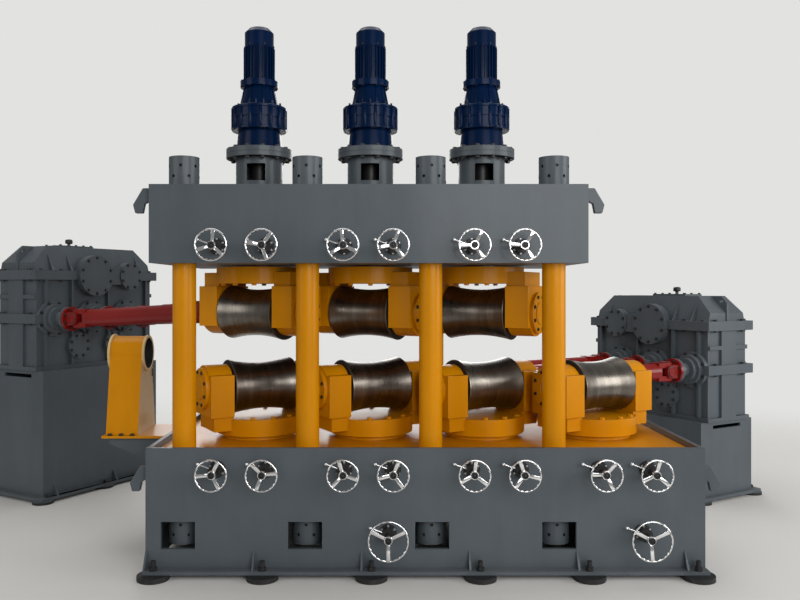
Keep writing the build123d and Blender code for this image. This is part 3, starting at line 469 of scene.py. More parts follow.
class Bench:
    """Makes and finishes meshes with the operators that a modeller uses by hand."""

    @staticmethod
    def pick(*pieces: bpy.types.Object) -> None:
        """Selects only these pieces.

        Args:
            pieces: The pieces, the first of which becomes active.
        """
        bpy.ops.object.select_all(action="DESELECT")
        for piece in pieces:
            piece.select_set(True)
        bpy.context.view_layer.objects.active = pieces[0] if pieces else None

    @staticmethod
    @contextmanager
    def editing(piece: bpy.types.Object, kind: str = "FACE") -> Iterator[bmesh.types.BMesh]:
        """Edit mode on one piece with nothing selected.

        Args:
            piece: The piece.
            kind: VERT, EDGE or FACE.

        Yields:
            The edited mesh, in which a selection is made by place or normal.
        """
        Bench.pick(piece)
        bpy.ops.object.mode_set(mode="EDIT")
        bpy.ops.mesh.select_mode(type=kind)
        bpy.ops.mesh.select_all(action="DESELECT")
        yield bmesh.from_edit_mesh(piece.data)
        bpy.ops.object.mode_set(mode="OBJECT")

    @staticmethod
    def choose(mesh: bmesh.types.BMesh, parts: Iterable, test: Callable[[object], bool]) -> None:
        """Selects parts of an edited mesh.

        Args:
            mesh: The mesh.
            parts: Its vertices, edges or faces.
            test: Which of them are selected.
        """
        for part in parts:
            if test(part):
                part.select_set(True)
        mesh.select_flush_mode()

    @staticmethod
    def linked(name: str, data: bpy.types.ID) -> bpy.types.Object:
        """A new object of the scene.

        Args:
            name: Its name.
            data: Its mesh, lamp or camera.

        Returns:
            The object.
        """
        made = bpy.data.objects.new(name, data)
        bpy.context.scene.collection.objects.link(made)
        return made

    @staticmethod
    def settled(name: str) -> bpy.types.Object:
        """Names the primitive just added and puts its place and scale into its mesh.

        Args:
            name: The name.

        Returns:
            The primitive, with its origin at the frame's.
        """
        piece = bpy.context.active_object
        piece.name = name
        Bench.pick(piece)
        bpy.ops.object.transform_apply(location=True, rotation=True, scale=True)
        return piece

    @staticmethod
    def smooth(piece: bpy.types.Object, angle: float = 32.0) -> bpy.types.Object:
        """Shades a piece smooth, but for its sharp edges.

        Args:
            piece: The piece.
            angle: Degrees above which an edge is sharp.

        Returns:
            The piece.
        """
        Bench.pick(piece)
        bpy.ops.object.shade_smooth_by_angle(angle=math.radians(angle))
        return piece

    @staticmethod
    def bevelled(piece: bpy.types.Object, width: float, angle: float = 32.0) -> bpy.types.Object:
        """Rounds the sharp edges of a piece and keeps its flat faces flat in shading.

        Args:
            piece: The piece.
            width: Width of the rounding.
            angle: Degrees above which an edge is sharp.

        Returns:
            The piece, with its modifiers applied.
        """
        Bench.pick(piece)
        rounding = piece.modifiers.new("rounding", "BEVEL")
        rounding.width = width
        rounding.segments = 2
        rounding.limit_method = "ANGLE"
        rounding.angle_limit = math.radians(angle)
        bpy.ops.object.modifier_apply(modifier=rounding.name)
        Bench.smooth(piece)
        flat = piece.modifiers.new("flat_faces", "WEIGHTED_NORMAL")
        flat.keep_sharp = True
        bpy.ops.object.modifier_apply(modifier=flat.name)
        return piece

    @staticmethod
    def turned(name: str, outline: Outline, sides: int = 48, edge: float = 0.0) -> bpy.types.Object:
        """A turned piece about Z: a disc extruded and resized up an outline.

        Args:
            name: The piece's name.
            outline: Radius and height of each step, bottom up.
            sides: Faces round the circle.
            edge: Width of the rounding of sharp edges, or 0.

        Returns:
            The piece, standing on the origin.
        """
        radius, height = outline[0]
        bpy.ops.object.select_all(action="DESELECT")
        bpy.ops.mesh.primitive_circle_add(vertices=sides, radius=radius, fill_type="NGON",
                                          location=(0, 0, height))
        piece = Bench.settled(name)
        with Bench.editing(piece):
            bpy.ops.mesh.select_all(action="SELECT")
            for next_radius, next_height in outline[1:]:
                lift = {"value": (0, 0, next_height - height)}
                bpy.ops.mesh.extrude_region_move(TRANSFORM_OT_translate=lift)
                grow = next_radius / radius
                bpy.ops.transform.resize(value=(grow, grow, 1), center_override=(0, 0, next_height))
                radius, height = next_radius, next_height
        with Bench.editing(piece):
            bpy.ops.mesh.select_all(action="SELECT")
            bpy.ops.mesh.remove_doubles(threshold=1e-5)
            bpy.ops.mesh.normals_make_consistent(inside=False)
        return Bench.bevelled(piece, edge) if edge else Bench.smooth(piece)

    @staticmethod
    def block(name: str, low: Sequence[float], high: Sequence[float], edge: float) -> bpy.types.Object:
        """A block between two corners with rounded edges.

        Args:
            name: The piece's name.
            low: Lowest corner.
            high: Highest corner.
            edge: Width of the rounding.

        Returns:
            The piece.
        """
        low, high = Vector(low), Vector(high)
        bpy.ops.object.select_all(action="DESELECT")
        bpy.ops.mesh.primitive_cube_add(size=1, location=(low + high) / 2, scale=high - low)
        piece = Bench.settled(name)
        with Bench.editing(piece, "EDGE"):
            bpy.ops.mesh.select_all(action="SELECT")
            bpy.ops.mesh.bevel(offset=edge, segments=2, affect="EDGES")
        return Bench.smooth(piece)

    @staticmethod
    def rod(name: str, start: Vector, stop: Vector, radius: float) -> bpy.types.Object:
        """A round bar with rounded ends.

        Args:
            name: The piece's name.
            start: The middle of one end.
            stop: The middle of the other.
            radius: Its radius.

        Returns:
            The piece.
        """
        run = stop - start
        piece = Bench.turned(name, [(radius, 0), (radius, run.length)], sides=16, edge=radius * 0.35)
        return Bench.placed(piece, Bench.pose(start, run))

    @staticmethod
    def pose(point: Vector, direction: Vector) -> Matrix:
        """The matrix that stands +Z along a direction at a point."""
        return Matrix.Translation(point) @ Vector(direction).to_track_quat("Z", "Y").to_matrix().to_4x4()

    @staticmethod
    def turns(point: Vector, count: int, offset: float = 0.0) -> list[Matrix]:
        """Matrices that turn a pattern about Z at a point.

        Args:
            point: Where the pattern's origin goes.
            count: How many turns make the full circle.
            offset: Of the first one, in steps.

        Returns:
            One matrix for each turn.
        """
        return [Matrix.Translation(point) @ Matrix.Rotation(math.tau * (k + offset) / count, 4, "Z")
                for k in range(count)]

    @staticmethod
    def placed(piece: bpy.types.Object, matrix: Matrix) -> bpy.types.Object:
        """Moves a piece inside its own mesh.

        Args:
            piece: The piece.
            matrix: The move.

        Returns:
            The piece.
        """
        piece.data.transform(matrix)
        piece.data.update()
        return piece

    @staticmethod
    def copied(piece: bpy.types.Object, matrix: Matrix) -> bpy.types.Object:
        """A copy of a piece with its own mesh, moved by a matrix."""
        return Bench.placed(Bench.linked(piece.name, piece.data.copy()), matrix)

    @staticmethod
    def joined(name: str, pieces: Sequence[bpy.types.Object]) -> bpy.types.Object:
        """Joins pieces into one object.

        Args:
            name: The whole's name.
            pieces: The pieces.

        Returns:
            The whole.
        """
        Bench.pick(*pieces)
        if len(pieces) > 1:
            bpy.ops.object.join()
        whole = bpy.context.active_object
        whole.name = name
        whole.data.name = name
        return whole

    @staticmethod
    def spread(name: str, pattern: bpy.types.Object, spots: Sequence[Matrix]) -> bpy.types.Object:
        """Copies a pattern to every spot, joins the copies and throws the pattern away.

        Args:
            name: The whole's name.
            pattern: The pattern, about the origin.
            spots: One matrix for each copy.

        Returns:
            The whole.
        """
        whole = Bench.joined(name, [Bench.copied(pattern, spot) for spot in spots])
        bpy.data.objects.remove(pattern)
        return whole

    @staticmethod
    def dressed(piece: bpy.types.Object, *finishes: Finish) -> bpy.types.Object:
        """Gives a piece its finishes in place of what it has.

        Args:
            piece: The piece.
            finishes: The finishes, the first of which is on all faces and sets the slot.

        Returns:
            The piece.
        """
        piece.data.materials.clear()
        for finish in finishes:
            piece.data.materials.append(finish.material())
        return piece

    @staticmethod
    def painted(piece: bpy.types.Object, index: int, test: FaceTest) -> None:
        """Gives some faces another of a piece's finishes.

        Args:
            piece: The piece.
            index: The finish's place in the order of dressing.
            test: Which faces, by their centre and normal.
        """
        for face in piece.data.polygons:
            if test(face.center, face.normal):
                face.material_index = index

    @staticmethod
    def softened(node: str, width: float, *finishes: Finish) -> bpy.types.Object:
        """A merged copy of a CAD node with rounded edges, which stands for the node.

        Args:
            node: The CAD node.
            width: Width of the rounding.
            finishes: The copy's finishes.

        Returns:
            The copy, riding on the node's body.
        """
        piece = Bench.linked(f"{node}_finished", frame["nodes"][node].data.copy())
        Bench.pick(piece)
        bpy.ops.mesh.customdata_custom_splitnormals_clear()
        with Bench.editing(piece):
            bpy.ops.mesh.select_all(action="SELECT")
            bpy.ops.mesh.remove_doubles(threshold=2e-5)
            bpy.ops.mesh.dissolve_limited(angle_limit=math.radians(0.6))
        Bench.bevelled(piece, width)
        return Bench.mount(Bench.dressed(piece, *finishes), body_of(node), node)

    @staticmethod
    def mount(piece: bpy.types.Object, body: str, *nodes: str) -> bpy.types.Object:
        """Makes a piece ride on a body and stand for the nodes named.

        Args:
            piece: The finished piece.
            body: The CAD body that carries it.
            nodes: The CAD nodes that it replaces.

        Returns:
            The piece.
        """
        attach(piece, body)
        if nodes:
            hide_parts(*nodes)
        log.info("%s on %s, %d faces", piece.name, body, len(piece.data.polygons))
        return piece


@dataclass(frozen=True)
class Fastener:
    """A hexagon bolt head, on a washer or bare. All but the first two are shares of its size."""

    size: float                 # the bolt's diameter
    washer: bool = True
    corner: float = 0.9         # from the axis to a corner of the head
    rise: float = 0.68
    shoulder: float = 0.82      # of the rise, where the chamfer starts
    top: float = 0.86           # of the corner, at the top of the chamfer
    plate: float = 1.1          # radius of the washer
    plate_rise: float = 0.18

    def head(self) -> bpy.types.Object:
        """One bolt head.

        Returns:
            The head with its washer, standing on the origin.
        """
        across, rise = self.size * self.corner, self.size * self.rise
        lift = self.size * self.plate_rise if self.washer else 0.0
        outline = [(across, lift), (across, lift + rise * self.shoulder), (across * self.top, lift + rise)]
        head = Bench.turned("bolt_head", outline, sides=6)
        if not self.washer:
            return head
        brim = self.size * self.plate
        washer = Bench.turned("bolt_washer", [(brim, 0), (brim, lift)], sides=14)
        return Bench.joined("bolt", [head, washer])

    def ring(self, centre: Vector, axis: Vector, radius: float, count: int,
             offset: float = 0.5) -> list[Matrix]:
        """Spots on a bolt circle.

        Args:
            centre: Centre of the circle, on the face.
            axis: Outward direction of the face.
            radius: Radius of the circle.
            count: Number of bolts.
            offset: Of the first bolt, in steps.

        Returns:
            One matrix for each bolt.
        """
        base = Bench.pose(centre, axis)
        return [base @ Matrix.Translation(spot) for spot in around(count, radius, offset * 360 / count)]

    def fix(self, name: str, spots: Sequence[Matrix], finish: Finish, body: str) -> None:
        """Makes the heads at all spots as one piece.

        Args:
            name: The piece's name.
            spots: One matrix for each head.
            finish: Its finish.
            body: The body that carries it.
        """
        Bench.mount(Bench.smooth(Bench.dressed(Bench.spread(name, self.head(), spots), finish)), body)


@dataclass(frozen=True)
class Shaft:
    """A joint's place and direction at rest."""

    centre: Vector
    axis: Vector

    @classmethod
    def of(cls, joint: str) -> "Shaft":
        """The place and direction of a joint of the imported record, by its name."""
        found = next(item for item in frame["joints"] if item["name"] == joint)
        return cls(Vector(found["pos_m"]), Vector(found["axis"]).normalized())

    def at(self, run: float) -> Vector:
        """The point of the axis that lies this far from the centre."""
        return self.centre + self.axis * run

    def runs(self, node: str) -> tuple[float, float]:
        """The lowest and highest reach of a CAD node along the axis."""
        return runs(node, self.centre, self.axis)


@dataclass
class Rolls:
    """The seven waisted rolls with their shafts and couplings."""

    length: float = 0.470
    rim: float = 0.190
    throat: float = 0.163
    edge: float = 0.006
    end_step: float = 0.002     # how far the end face's middle lies in
    recess: tuple[float, float] = (0.62, 0.63)   # shares of the rim where it steps out
    rounding: float = 0.3       # of the edge, where its corner is cut
    square: float = 0.98        # least part of an end face's normal that lies along the axis
    journal: float = 0.062
    play: float = 1.02          # of the barrel's bore, as a share of the journal
    tip: float = 0.94           # of the shaft's end, as a share of the journal
    chamfer: float = 0.004
    coupling: float = 0.102
    coupling_thick: float = 0.024
    nick: float = 0.003         # broken edges of the coupling
    bolt_inset: float = 0.020
    bolts: int = 8
    longer: float = 0.01        # by more than this on the coupling's side
    steps: int = 26
    sides: int = 112
    lean: float = 30.0          # of the lower rolls' axes from +X, degrees
    bolt: Fastener = Fastener(0.014, washer=False)

    def outline(self) -> Outline:
        """The barrel's outline: rounded rims with an arc between them.

        Returns:
            Radius and place of each step along the axis.
        """
        half = self.length / 2
        reach = half - self.edge
        sag = self.rim - self.throat
        radius = (reach ** 2 + sag ** 2) / (2 * sag)
        inner, outer = (share * self.rim for share in self.recess)
        cut = self.edge * self.rounding
        end = [(self.journal * self.play, -half + self.end_step), (inner, -half + self.end_step),
               (outer, -half), (self.rim - self.edge, -half), (self.rim - cut, -half + cut)]
        places = [-reach + 2 * reach * k / self.steps for k in range(self.steps + 1)]
        waist = [(self.throat + radius - math.sqrt(radius ** 2 - place ** 2), place) for place in places]
        return end + waist + [(r, -z) for r, z in reversed(end)]

    def build(self) -> None:
        """Makes each roll on its own body."""
        pattern = Bench.turned("roll_barrel", self.outline(), self.sides)
        Bench.smooth(pattern, 40)
        for level, turn in (("upper", -self.lean), ("lower", self.lean)):
            finish = RollSteel(f"{level}_roll_steel", Slot.ROLL, turn)
            for i in stations(level):
                self.one(pattern, level, i, finish)
        bpy.data.objects.remove(pattern)

    def one(self, pattern: bpy.types.Object, level: str, i: int, finish: Finish) -> None:
        """Makes one roll with its shaft and, where it is driven, its coupling.

        Args:
            pattern: The barrel, standing on Z.
            level: Upper or lower.
            i: The station's number.
            finish: The barrel's finish.
        """
        shaft = Shaft.of(f"{level}_spin_{i}")
        node = f"{level}_roll_{i}"
        stand = Bench.pose(shaft.centre, shaft.axis)
        barrel = Bench.copied(pattern, stand)
        barrel.name = f"{node}_barrel"
        # The barrel's end faces take the dark finish as painted shade, for the shadow they lie in.
        Bench.mount(Bench.dressed(barrel, finish, DARK), body_of(node), node)
        Bench.painted(barrel, 1, lambda at, normal: abs(normal.dot(shaft.axis)) > self.square)
        low, high = shaft.runs(node)
        seat = high - self.coupling_thick
        driven = high > -low + self.longer
        outline = [(self.journal * self.tip, low), (self.journal, low + self.chamfer), (self.journal, seat)]
        if driven:
            outline += [(self.coupling - self.nick, seat), (self.coupling, seat + self.nick),
                        (self.coupling, high - self.nick), (self.coupling - self.nick, high)]
        axle = Bench.placed(Bench.turned(f"{node}_shaft", outline, sides=56), stand)
        Bench.mount(Bench.dressed(axle, STEEL), body_of(node))
        if driven:
            circle = self.coupling - self.bolt_inset
            spots = self.bolt.ring(shaft.at(seat), -shaft.axis, circle, self.bolts, offset=0)
            self.bolt.fix(f"{node}_coupling_bolts", spots, DARK, body_of(node))


@dataclass
class Yokes:
    """The yokes that hold the rolls: cast bodies, bolts on the discs and the bearing caps."""

    reach: float = 0.320        # from the roll's axis to the disc's outer face
    disc_thick: float = 0.115
    disc_circle: float = 0.262
    disc_step: float = 31.0     # degrees between the disc's bolts
    cap_circle: float = 0.118
    cap_face: float = 0.434
    cap_bolts: int = 8
    longer: float = 0.01        # by more than this the roll's shaft runs out of the cap
    edge: float = 0.004
    cover: Outline = ((0.078, 0), (0.078, 0.004), (0.075, 0.007))
    disc_bolt: Fastener = Fastener(0.020, washer=False)
    cap_bolt: Fastener = Fastener(0.014, washer=False)

    def build(self) -> None:
        """Dresses every yoke."""
        for level, away in (("upper", UP), ("lower", -UP)):
            for i in stations(level):
                self.one(level, i, away)

    def one(self, level: str, i: int, away: Vector) -> None:
        """Dresses one yoke.

        Args:
            level: Upper or lower.
            i: The station's number.
            away: Direction from the roll to the yoke's disc.
        """
        shaft = Shaft.of(f"{level}_spin_{i}")
        node = f"{level}_yoke_{i}"
        Bench.softened(node, self.edge, YELLOW)
        seat = shaft.centre + away * (self.reach - self.disc_thick)
        lean = math.degrees(math.atan2(shaft.axis.y, shaft.axis.x))
        angles = [lean + side + k * self.disc_step for side in (90, 270) for k in (-1, 0, 1)]
        spots = [Bench.pose(seat + around(1, self.disc_circle, angle)[0], -away) for angle in angles]
        self.disc_bolt.fix(f"{node}_disc_bolts", spots, YELLOW, body_of(node))
        spots = []
        for side in (-1, 1):
            face = shaft.at(side * self.cap_face)
            spots += self.cap_bolt.ring(face, shaft.axis * side, self.cap_circle, self.cap_bolts)
        self.cap_bolt.fix(f"{node}_cap_bolts", spots, DARK, body_of(node))
        blind = -1 if shaft.runs(f"{level}_roll_{i}")[1] > self.cap_face + self.longer else 1
        cover = Bench.turned(f"{node}_blind_cover", self.cover)
        Bench.placed(cover, Bench.pose(shaft.at(blind * self.cap_face), shaft.axis * blind))
        Bench.mount(Bench.dressed(cover, YELLOW), body_of(node))


@dataclass
class Columns:
    """The round columns, yellow between base and beam and bare at their threads."""

    bore: float = 0.0757        # of a nut, with its play
    nut: float = 0.097
    skin: float = 0.002         # below a nut's outside, where its tommy holes start
    thread: float = 0.4         # from the beam's underside up to the bare thread
    edge: float = 0.004

    def build(self) -> None:
        """Makes the columns and their nuts."""
        columns = Bench.softened("columns", self.edge, YELLOW, STEEL)
        bare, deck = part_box("top_beam")[0].z + self.thread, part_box("base_deck")[0].z
        Bench.painted(columns, 1, lambda at, normal: at.z > bare or at.z < deck)
        # The walls of the nuts' tommy holes take the dark finish as painted shade.
        nuts = Bench.softened("column_nuts", self.edge, GREY, DARK)
        for centre in self.centres():
            Bench.painted(nuts, 1, lambda at, normal:
                          self.bore < (at.xy - centre).length < self.nut - self.skin)

    def centres(self) -> list[Vector]:
        """The column axes, each worked out from the vertices near it.

        Returns:
            Their places in plan.
        """
        groups: list[list[Vector]] = []
        for vertex in frame["nodes"]["columns"].data.vertices:
            place = Vector(vertex.co).xy
            near = [group for group in groups if (place - group[0]).length < 4 * self.nut]
            if near:
                near[0].append(place)
            else:
                groups.append([place])
        return [Vector(((min(p.x for p in group) + max(p.x for p in group)) / 2,
                        (min(p.y for p in group) + max(p.y for p in group)) / 2)) for group in groups]


@dataclass
class Handwheel:
    """One handwheel: scalloped chrome rim, three flat spokes and a dark hub."""

    node: str
    tube: float = 0.0065
    spokes: int = 3
    spoke_width: float = 0.020
    spoke_thick: float = 0.006
    spoke_edge: float = 0.0018
    spoke_ends: tuple[float, float] = (0.6, 1.6)    # hub radii out, tube radii in from the rim
    bare: tuple[float, float] = (1.3, 2.5)          # likewise, where nothing but spokes lies
    widening: float = 1.18      # of a spoke, at the rim
    hub: float = 0.021
    hub_length: float = 0.044
    hub_edge: float = 0.003
    dish: float = 0.022
    scallops: int = 21
    segments: int = 6           # of the rim for each scallop
    press: float = 0.42         # depth of a scallop, as a share of the tube
    inside: float = 0.4         # tube radii in from its middle, where a scallop starts
    collar: Outline = ((1.25, 0.012), (1.3, 0.015), (1.3, 0.030), (1.2, 0.034))   # radii over the hub's
    # Radius and depth of each step of the screw in the hub's face.
    screw: Outline = ((0.0125, 0), (0.0115, 0.009), (0.010, 0.009), (0.0085, 0.001), (0.004, 0))
    shaft: Shaft = field(init=False)
    radius: float = field(init=False)
    back: float = field(init=False)

    def __post_init__(self) -> None:
        """Reads the wheel's axis, radius and back from the frame."""
        self.shaft = Shaft.of(f"{self.node}_turn")
        low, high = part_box(self.node)
        self.radius = (high.x - low.x) / 2
        self.back = high.y

    def resting_turn(self) -> float:
        """How a spoke of the CAD node lies, by the mean turn of the spokes' faces.

        Returns:
            Its angle in radians from +X towards +Z.
        """
        total = complex(0, 0)
        near, far = self.hub * self.bare[0], self.radius - self.bare[1] * self.tube
        for face in frame["nodes"][self.node].data.polygons:
            away = face.center - self.shaft.centre
            if near < math.hypot(away.x, away.z) < far:
                total += face.area * complex(away.x, away.z) ** self.spokes
        return math.atan2(total.imag, total.real) / self.spokes

    def rim(self) -> bpy.types.Object:
        """The rim, with finger hollows pressed into its inside.

        Returns:
            The piece, about Z and in front of the hub's middle.
        """
        middle = self.radius - self.tube
        ring = self.scallops * self.segments
        bpy.ops.object.select_all(action="DESELECT")
        bpy.ops.mesh.primitive_torus_add(major_radius=middle, minor_radius=self.tube, major_segments=ring,
                                         minor_segments=12)
        piece = Bench.settled("wheel_rim")

        def hollow(vertex: bmesh.types.BMVert) -> bool:
            """Whether a vertex lies in a finger hollow.

            Args:
                vertex: A vertex of the rim.

            Returns:
                True on the inside, away from the ridges between the hollows.
            """
            step = round(math.atan2(vertex.co.y, vertex.co.x) / math.tau * ring) % self.segments
            inside = math.hypot(vertex.co.x, vertex.co.y) < middle - self.tube * self.inside
            return inside and 1 < step < self.segments - 1

        with Bench.editing(piece, "VERT") as mesh:
            Bench.choose(mesh, mesh.verts, hollow)
            grow = 1 + self.tube * self.press / middle
            bpy.ops.transform.resize(value=(grow, grow, 1), center_override=(0, 0, 0))
        Bench.placed(piece, Matrix.Translation((0, 0, self.dish + self.hub_length / 2)))
        return Bench.smooth(piece, 60)

    def spoke(self) -> bpy.types.Object:
        """A flat spoke that widens to the rim and rises with the dish.

        Returns:
            The piece, along +X.
        """
        start, stop = self.hub * self.spoke_ends[0], self.radius - self.spoke_ends[1] * self.tube
        half, thick = self.spoke_width / 2, self.spoke_thick / 2
        piece = Bench.block("wheel_spoke", (start, -half, -thick), (stop, half, thick), self.spoke_edge)
        with Bench.editing(piece, "VERT") as mesh:
            Bench.choose(mesh, mesh.verts, lambda v: v.co.x > (start + stop) / 2)
            bpy.ops.transform.translate(value=(0, 0, self.dish))
            bpy.ops.transform.resize(value=(1, self.widening, 1), center_override=(stop, 0, self.dish))
        return piece

    def build(self) -> None:
        """Makes the wheel on its body."""
        offset = self.resting_turn() / math.tau * self.spokes
        middle = Vector((0, 0, self.hub_length / 2))
        spokes = Bench.spread("wheel_spokes", self.spoke(), Bench.turns(middle, self.spokes, offset))
        collar = Bench.turned("wheel_collar", grown(self.collar, self.hub), sides=36)
        wheel = Bench.joined(f"{self.node}_wheel", [self.rim(), spokes, collar])
        place = Matrix.Translation((self.shaft.centre.x, self.back, self.shaft.centre.z))
        stand = place @ Matrix.Rotation(math.pi / 2, 4, "X")
        Bench.placed(wheel, stand)
        Bench.mount(Bench.dressed(wheel, CHROME), body_of(self.node), self.node)
        length = self.hub_length
        outline = [(self.hub, 0), (self.hub, length - self.hub_edge), (self.hub - self.hub_edge, length)]
        outline += [(radius, length - depth) for radius, depth in self.screw]
        hub = Bench.placed(Bench.turned(f"{self.node}_hub", outline, sides=36), stand)
        Bench.mount(Bench.dressed(hub, DARK), body_of(self.node))


@dataclass
class WheelMounts:
    """What stands behind the handwheels: bolted bosses, dial housings, levers and sleeves."""

    bolt_circle: float = 0.045
    housing: float = 0.045      # beyond it only the clamp lever reaches
    flange: float = 0.018
    bolts: int = 6
    edge: float = 0.002
    bolt: Fastener = Fastener(0.008, washer=False)

    def build(self) -> None:
        """Makes the mounts of all handwheels."""
        piece = Bench.softened("handwheel_mounts", self.edge, DARK, CHROME)
        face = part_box("handwheel_mounts")[1].y - self.flange
        axes = [Shaft.of(f"{node}_turn").centre for node in handwheels()]
        Bench.painted(piece, 1, lambda at, normal: at.y < face - 2 * HAIR
                      and min((at.xz - axis.xz).length for axis in axes) > self.housing)
        spots = []
        for axis in axes:
            centre = Vector((axis.x, face, axis.z))
            spots += self.bolt.ring(centre, Vector((0, -1, 0)), self.bolt_circle, self.bolts)
        self.bolt.fix("handwheel_mount_bolts", spots, STEEL, FRAME_BODY)


@dataclass
class Plain:
    """Nodes that keep their CAD shape, with the rounding of their edges and one finish."""

    nodes: dict[str, tuple[float, Finish]] = field(default_factory=lambda: {
        "base_front_plate": (0.003, GREY),
        "base_rear_plate": (0.003, GREY),
        "base_end_plates": (0.003, GREY),
        "base_stiffeners": (0.002, GREY_DARK),
        "base_deck": (0.003, YELLOW),
        "levelling_pads": (0.003, RUBBER),
        "top_beam": (0.004, GREY),
        "lifting_hooks": (0.005, GREY),
        **{f"screwdown_ram_{i}": (0.003, STEEL) for i in stations("upper")},
    })

    def build(self) -> None:
        """Makes a softened copy of each node."""
        for node, (width, finish) in self.nodes.items():
            Bench.softened(node, width, finish)


@dataclass
class CardanShafts:
    """The six universal-joint shafts with their bearing caps and flange bolts."""

    cross: float = 0.105        # from a flange's face to the cross
    spread: float = 0.074       # from the axis to an ear's outer face
    cap: float = 0.041
    cap_steps: Outline = ((1, -0.004), (1, 0.005), (0.93, 0.008), (0.72, 0.008), (0.70, 0.005),
                          (0.34, 0.005), (0.30, 0.008))     # radii over the cap's
    clip_steps: Outline = ((1.16, -0.004), (1.16, 0.002), (1.12, 0.003))
    flange: float = 0.102
    flange_thick: float = 0.024
    bolts: int = 8
    bolt_inset: float = 0.016
    edge: float = 0.004
    bolt: Fastener = Fastener(0.014, washer=False)

    def build(self) -> None:
        """Dresses each shaft."""
        for node in sorted(frame["nodes"]):
            if "_cardan_" in node:
                self.one(node)

    def one(self, node: str) -> None:
        """Dresses one shaft.

        Args:
            node: Its node.
        """
        side, number = node.split("_cardan_")
        shaft = Shaft.of(f"{side}_cardan_spin_{number}")
        Bench.softened(node, self.edge, RED)
        low, high = shaft.runs(node)
        length = max(high, -low)
        shaft = Shaft(shaft.centre, shaft.axis if high > -low else -shaft.axis)
        across = Vector((-shaft.axis.y, shaft.axis.x, 0)).normalized()
        rise = shaft.axis.cross(across)
        spots = [Bench.pose(shaft.at(run) + way * self.spread, way)
                 for run in (self.cross, length - self.cross) for way in (across, -across, rise, -rise)]
        for name, steps, finish in (("cap", self.cap_steps, RED), ("clip", self.clip_steps, DARK)):
            pattern = Bench.turned(f"bearing_{name}", grown(steps, self.cap), sides=28)
            whole = Bench.spread(f"{node}_{name}s", pattern, spots)
            Bench.mount(Bench.dressed(whole, finish), body_of(node))
        circle = self.flange - self.bolt_inset
        spots = self.bolt.ring(shaft.at(self.flange_thick), shaft.axis, circle, self.bolts)
        spots += self.bolt.ring(shaft.at(length - self.flange_thick), -shaft.axis, circle, self.bolts)
        self.bolt.fix(f"{node}_flange_bolts", spots, DARK, body_of(node))


